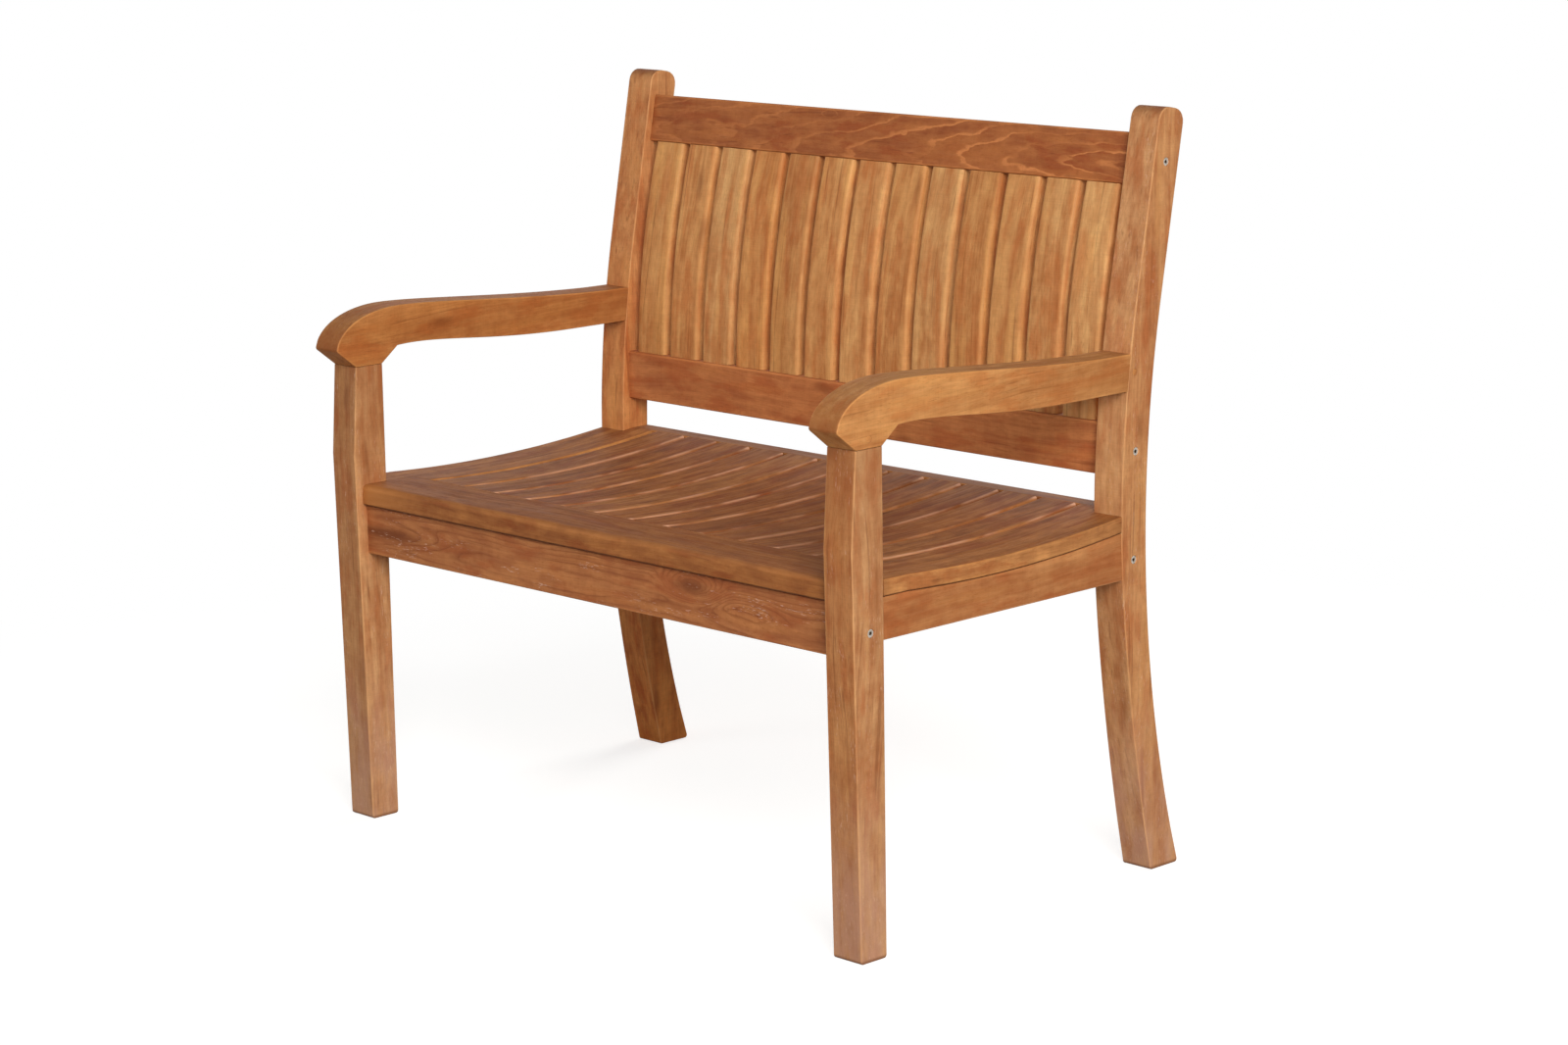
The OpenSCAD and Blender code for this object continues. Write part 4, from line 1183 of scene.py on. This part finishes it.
class BENCH_OT_fasteners(bpy.types.Operator):
    """Turns the pegs in the arm joints and finishes the bolts and screws"""

    bl_idname = "bench.fasteners"
    bl_label = "Pegs, bolts and screws"

    def execute(self, context):
        wood = teak("Teak, end grain, pegs", "arm", rings=2.5)
        boxes = islands("arm_pegs")
        lo, hi = boxes[0]
        bm = grown(
            "plug_row", plug_tree(), [(a + b) / 2 for a, b in boxes], {},
            {"Radius": (hi.z - lo.z) / 2, "Length": hi.x - lo.x, "Dome": DOME,
             "Material": wood})
        lay_grain(bm, "X", (9, 7), 3, (0.3, 0.0))
        # Their cut ends are sanded smooth, so they stay pale
        layer = bm.verts.layers.float["ends"]
        for v in bm.verts:
            v[layer] *= 0.3
        add_piece("domed_arm_pegs", bm, wood, ["arm_pegs"])
        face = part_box("rail_bolts")[1].x
        for node, deep in (("rail_bolts", face - 1.2 * MM), ("seat_screws", None)):
            metal = steel(f"Stainless steel, turned, {node}", deep)
            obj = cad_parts[node]
            for place in obj.material_slots:
                place.material = metal
            if not obj.material_slots:
                obj.data.materials.append(metal)
        return {"FINISHED"}


# ---- Stage ----


def way_to(azimuth, elevation):
    """The direction from the bench to a lamp or the camera, its azimuth from the front."""
    flat = math.cos(elevation)
    return Vector((math.sin(azimuth) * flat, -math.cos(azimuth) * flat, math.sin(elevation)))


def paper():
    """Matt white background paper. Away from the bench the camera sees it plain white,
    while near the bench it takes the bench's shadow."""
    mat, tree = blank_material("White paper, matt")
    put = partial(add, tree)
    place = put("ShaderNodeTexCoord").outputs["Object"]
    grit = put("ShaderNodeTexNoise", Vector=place, Scale=400.0, Detail=2.0)
    bump = put("ShaderNodeBump", Height=grit, Strength=0.05, Distance=0.1 * MM)
    lit = put("ShaderNodeBsdfPrincipled", Base_Color=linear("#b9b7b3"), Roughness=0.9,
              Normal=bump)
    # The camera sees the paper's own light and a glow that lifts it to white
    glow = put("ShaderNodeEmission", Color=WHITE, Strength=0.72)
    lifted = put("ShaderNodeAddShader", None, lit, glow)
    plain = put("ShaderNodeEmission", Color=WHITE, Strength=1.0)
    away = put(VECTOR, "LENGTH", place)
    far = put(RANGE, SOFT, away, 0.7, 1.8)
    seen = put("ShaderNodeMixShader", None, far, lifted, plain)
    rays = put("ShaderNodeLightPath")
    mixed = put("ShaderNodeMixShader", None, rays.outputs["Is Camera Ray"], lit, seen)
    put("ShaderNodeOutputMaterial", Surface=mixed)
    return mat


def studio(strength):
    """Soft light from all round, weaker from straight above, and a white backdrop."""
    world = bpy.data.worlds.new("Studio")
    world.use_nodes = True
    tree = world.node_tree
    tree.nodes.clear()
    put = partial(add, tree)
    way = put("ShaderNodeTexCoord").outputs["Generated"]
    way = put("ShaderNodeSeparateXYZ", None, way).outputs["Z"]
    level = put(RANGE, None, way, 0.0, 1.0, strength, strength * 0.4)
    around = put("ShaderNodeBackground", Color=WHITE, Strength=level)
    white = put("ShaderNodeBackground", Color=WHITE, Strength=1.0)
    rays = put("ShaderNodeLightPath").outputs
    seen = rays["Is Camera Ray"]
    for ray in ("Is Glossy Ray", "Is Transmission Ray"):
        seen = put(MATH, "MAXIMUM", seen, rays[ray])
    mixed = put("ShaderNodeMixShader", None, seen, around, white)
    put("ShaderNodeOutputWorld", Surface=mixed)
    return world


class BENCH_OT_stage(bpy.types.Operator):
    """Sets up the floor, the soft lamps and the camera"""

    bl_idname = "bench.stage"
    bl_label = "Floor, light and camera"

    def execute(self, context):
        scene, stage = context.scene, context.scene.bench_stage
        mesh, reach = bpy.data.meshes.new("studio_floor"), 30.0
        mesh.from_pydata(
            [(-reach, -reach, 0), (reach, -reach, 0), (reach, reach, 0), (-reach, reach, 0)],
            [], [(0, 1, 2, 3)])
        mesh.materials.append(paper())
        linked("studio_floor", mesh)

        # Square lamps that look at the middle of the bench: degrees round it and up, how
        # far off, and how wide
        for name, azimuth, elevation, distance, size, power in (
                ("Key", 57, 26, 7.0, 3.4, stage.key), ("Fill", -35, 22, 6.0, 3.0, stage.fill),
                ("Back", 192, 14, 6.0, 3.0, stage.back)):
            data = bpy.data.lights.new(name, "AREA")
            data.size, data.energy = size, power
            lamp = linked(name, data)
            way = way_to(math.radians(azimuth), math.radians(elevation))
            lamp.location = Vector((0, 0, 0.45)) + way * distance
            lamp.rotation_euler = (-way).to_track_quat("-Z", "Y").to_euler()
        scene.world = studio(stage.sky)

        data = bpy.data.cameras.new("Camera")
        data.lens, data.sensor_width, data.sensor_fit = stage.lens, 36.0, "HORIZONTAL"
        camera = linked("Camera", data)
        way = way_to(stage.azimuth, stage.elevation)
        right = Vector((0, 0, 1)).cross(way).normalized()
        up = way.cross(right)
        across = right * math.cos(stage.roll) + up * math.sin(stage.roll)
        over = up * math.cos(stage.roll) - right * math.sin(stage.roll)
        turned = Matrix((across, over, way)).transposed().to_4x4()
        camera.matrix_world = Matrix.Translation(
            Vector(stage.target) + way * stage.distance) @ turned
        scene.camera = camera
        scene.view_settings.view_transform = "Standard"
        return {"FINISHED"}


# ---- Add-on ----


class BENCH_PT_panel(bpy.types.Panel):
    """Lists the bench's sizes, woods and steps"""

    bl_idname = "BENCH_PT_panel"
    bl_label = "Garden bench"
    bl_space_type = "VIEW_3D"
    bl_region_type = "UI"
    bl_category = "Bench"

    def draw(self, context):
        for group in GROUPS:
            box = self.layout.box()
            settings = getattr(context.scene, group)
            for key in settings.bl_rna.properties.keys():
                if key not in ("rna_type", "name"):
                    box.prop(settings, key)
        for step in STEPS:
            self.layout.operator(step.bl_idname)


STEPS = (
    BENCH_OT_legs, BENCH_OT_arms, BENCH_OT_rails, BENCH_OT_seat, BENCH_OT_seat_slats,
    BENCH_OT_back_slats, BENCH_OT_fasteners, BENCH_OT_stage)
GROUPS = {"bench_edges": BenchEdges, "bench_teak": BenchTeak, "bench_stage": BenchStage}


def register():
    for one in (*GROUPS.values(), *STEPS, BENCH_PT_panel):
        bpy.utils.register_class(one)
    for name, group in GROUPS.items():
        setattr(bpy.types.Scene, name, PointerProperty(type=group))


def unregister():
    for name in GROUPS:
        delattr(bpy.types.Scene, name)
    for one in (BENCH_PT_panel, *reversed(STEPS), *reversed(GROUPS.values())):
        bpy.utils.unregister_class(one)


def main():
    register()
    for step in STEPS:
        group, name = step.bl_idname.split(".")
        getattr(getattr(bpy.ops, group), name)()


if __name__ == "__main__":
    main()
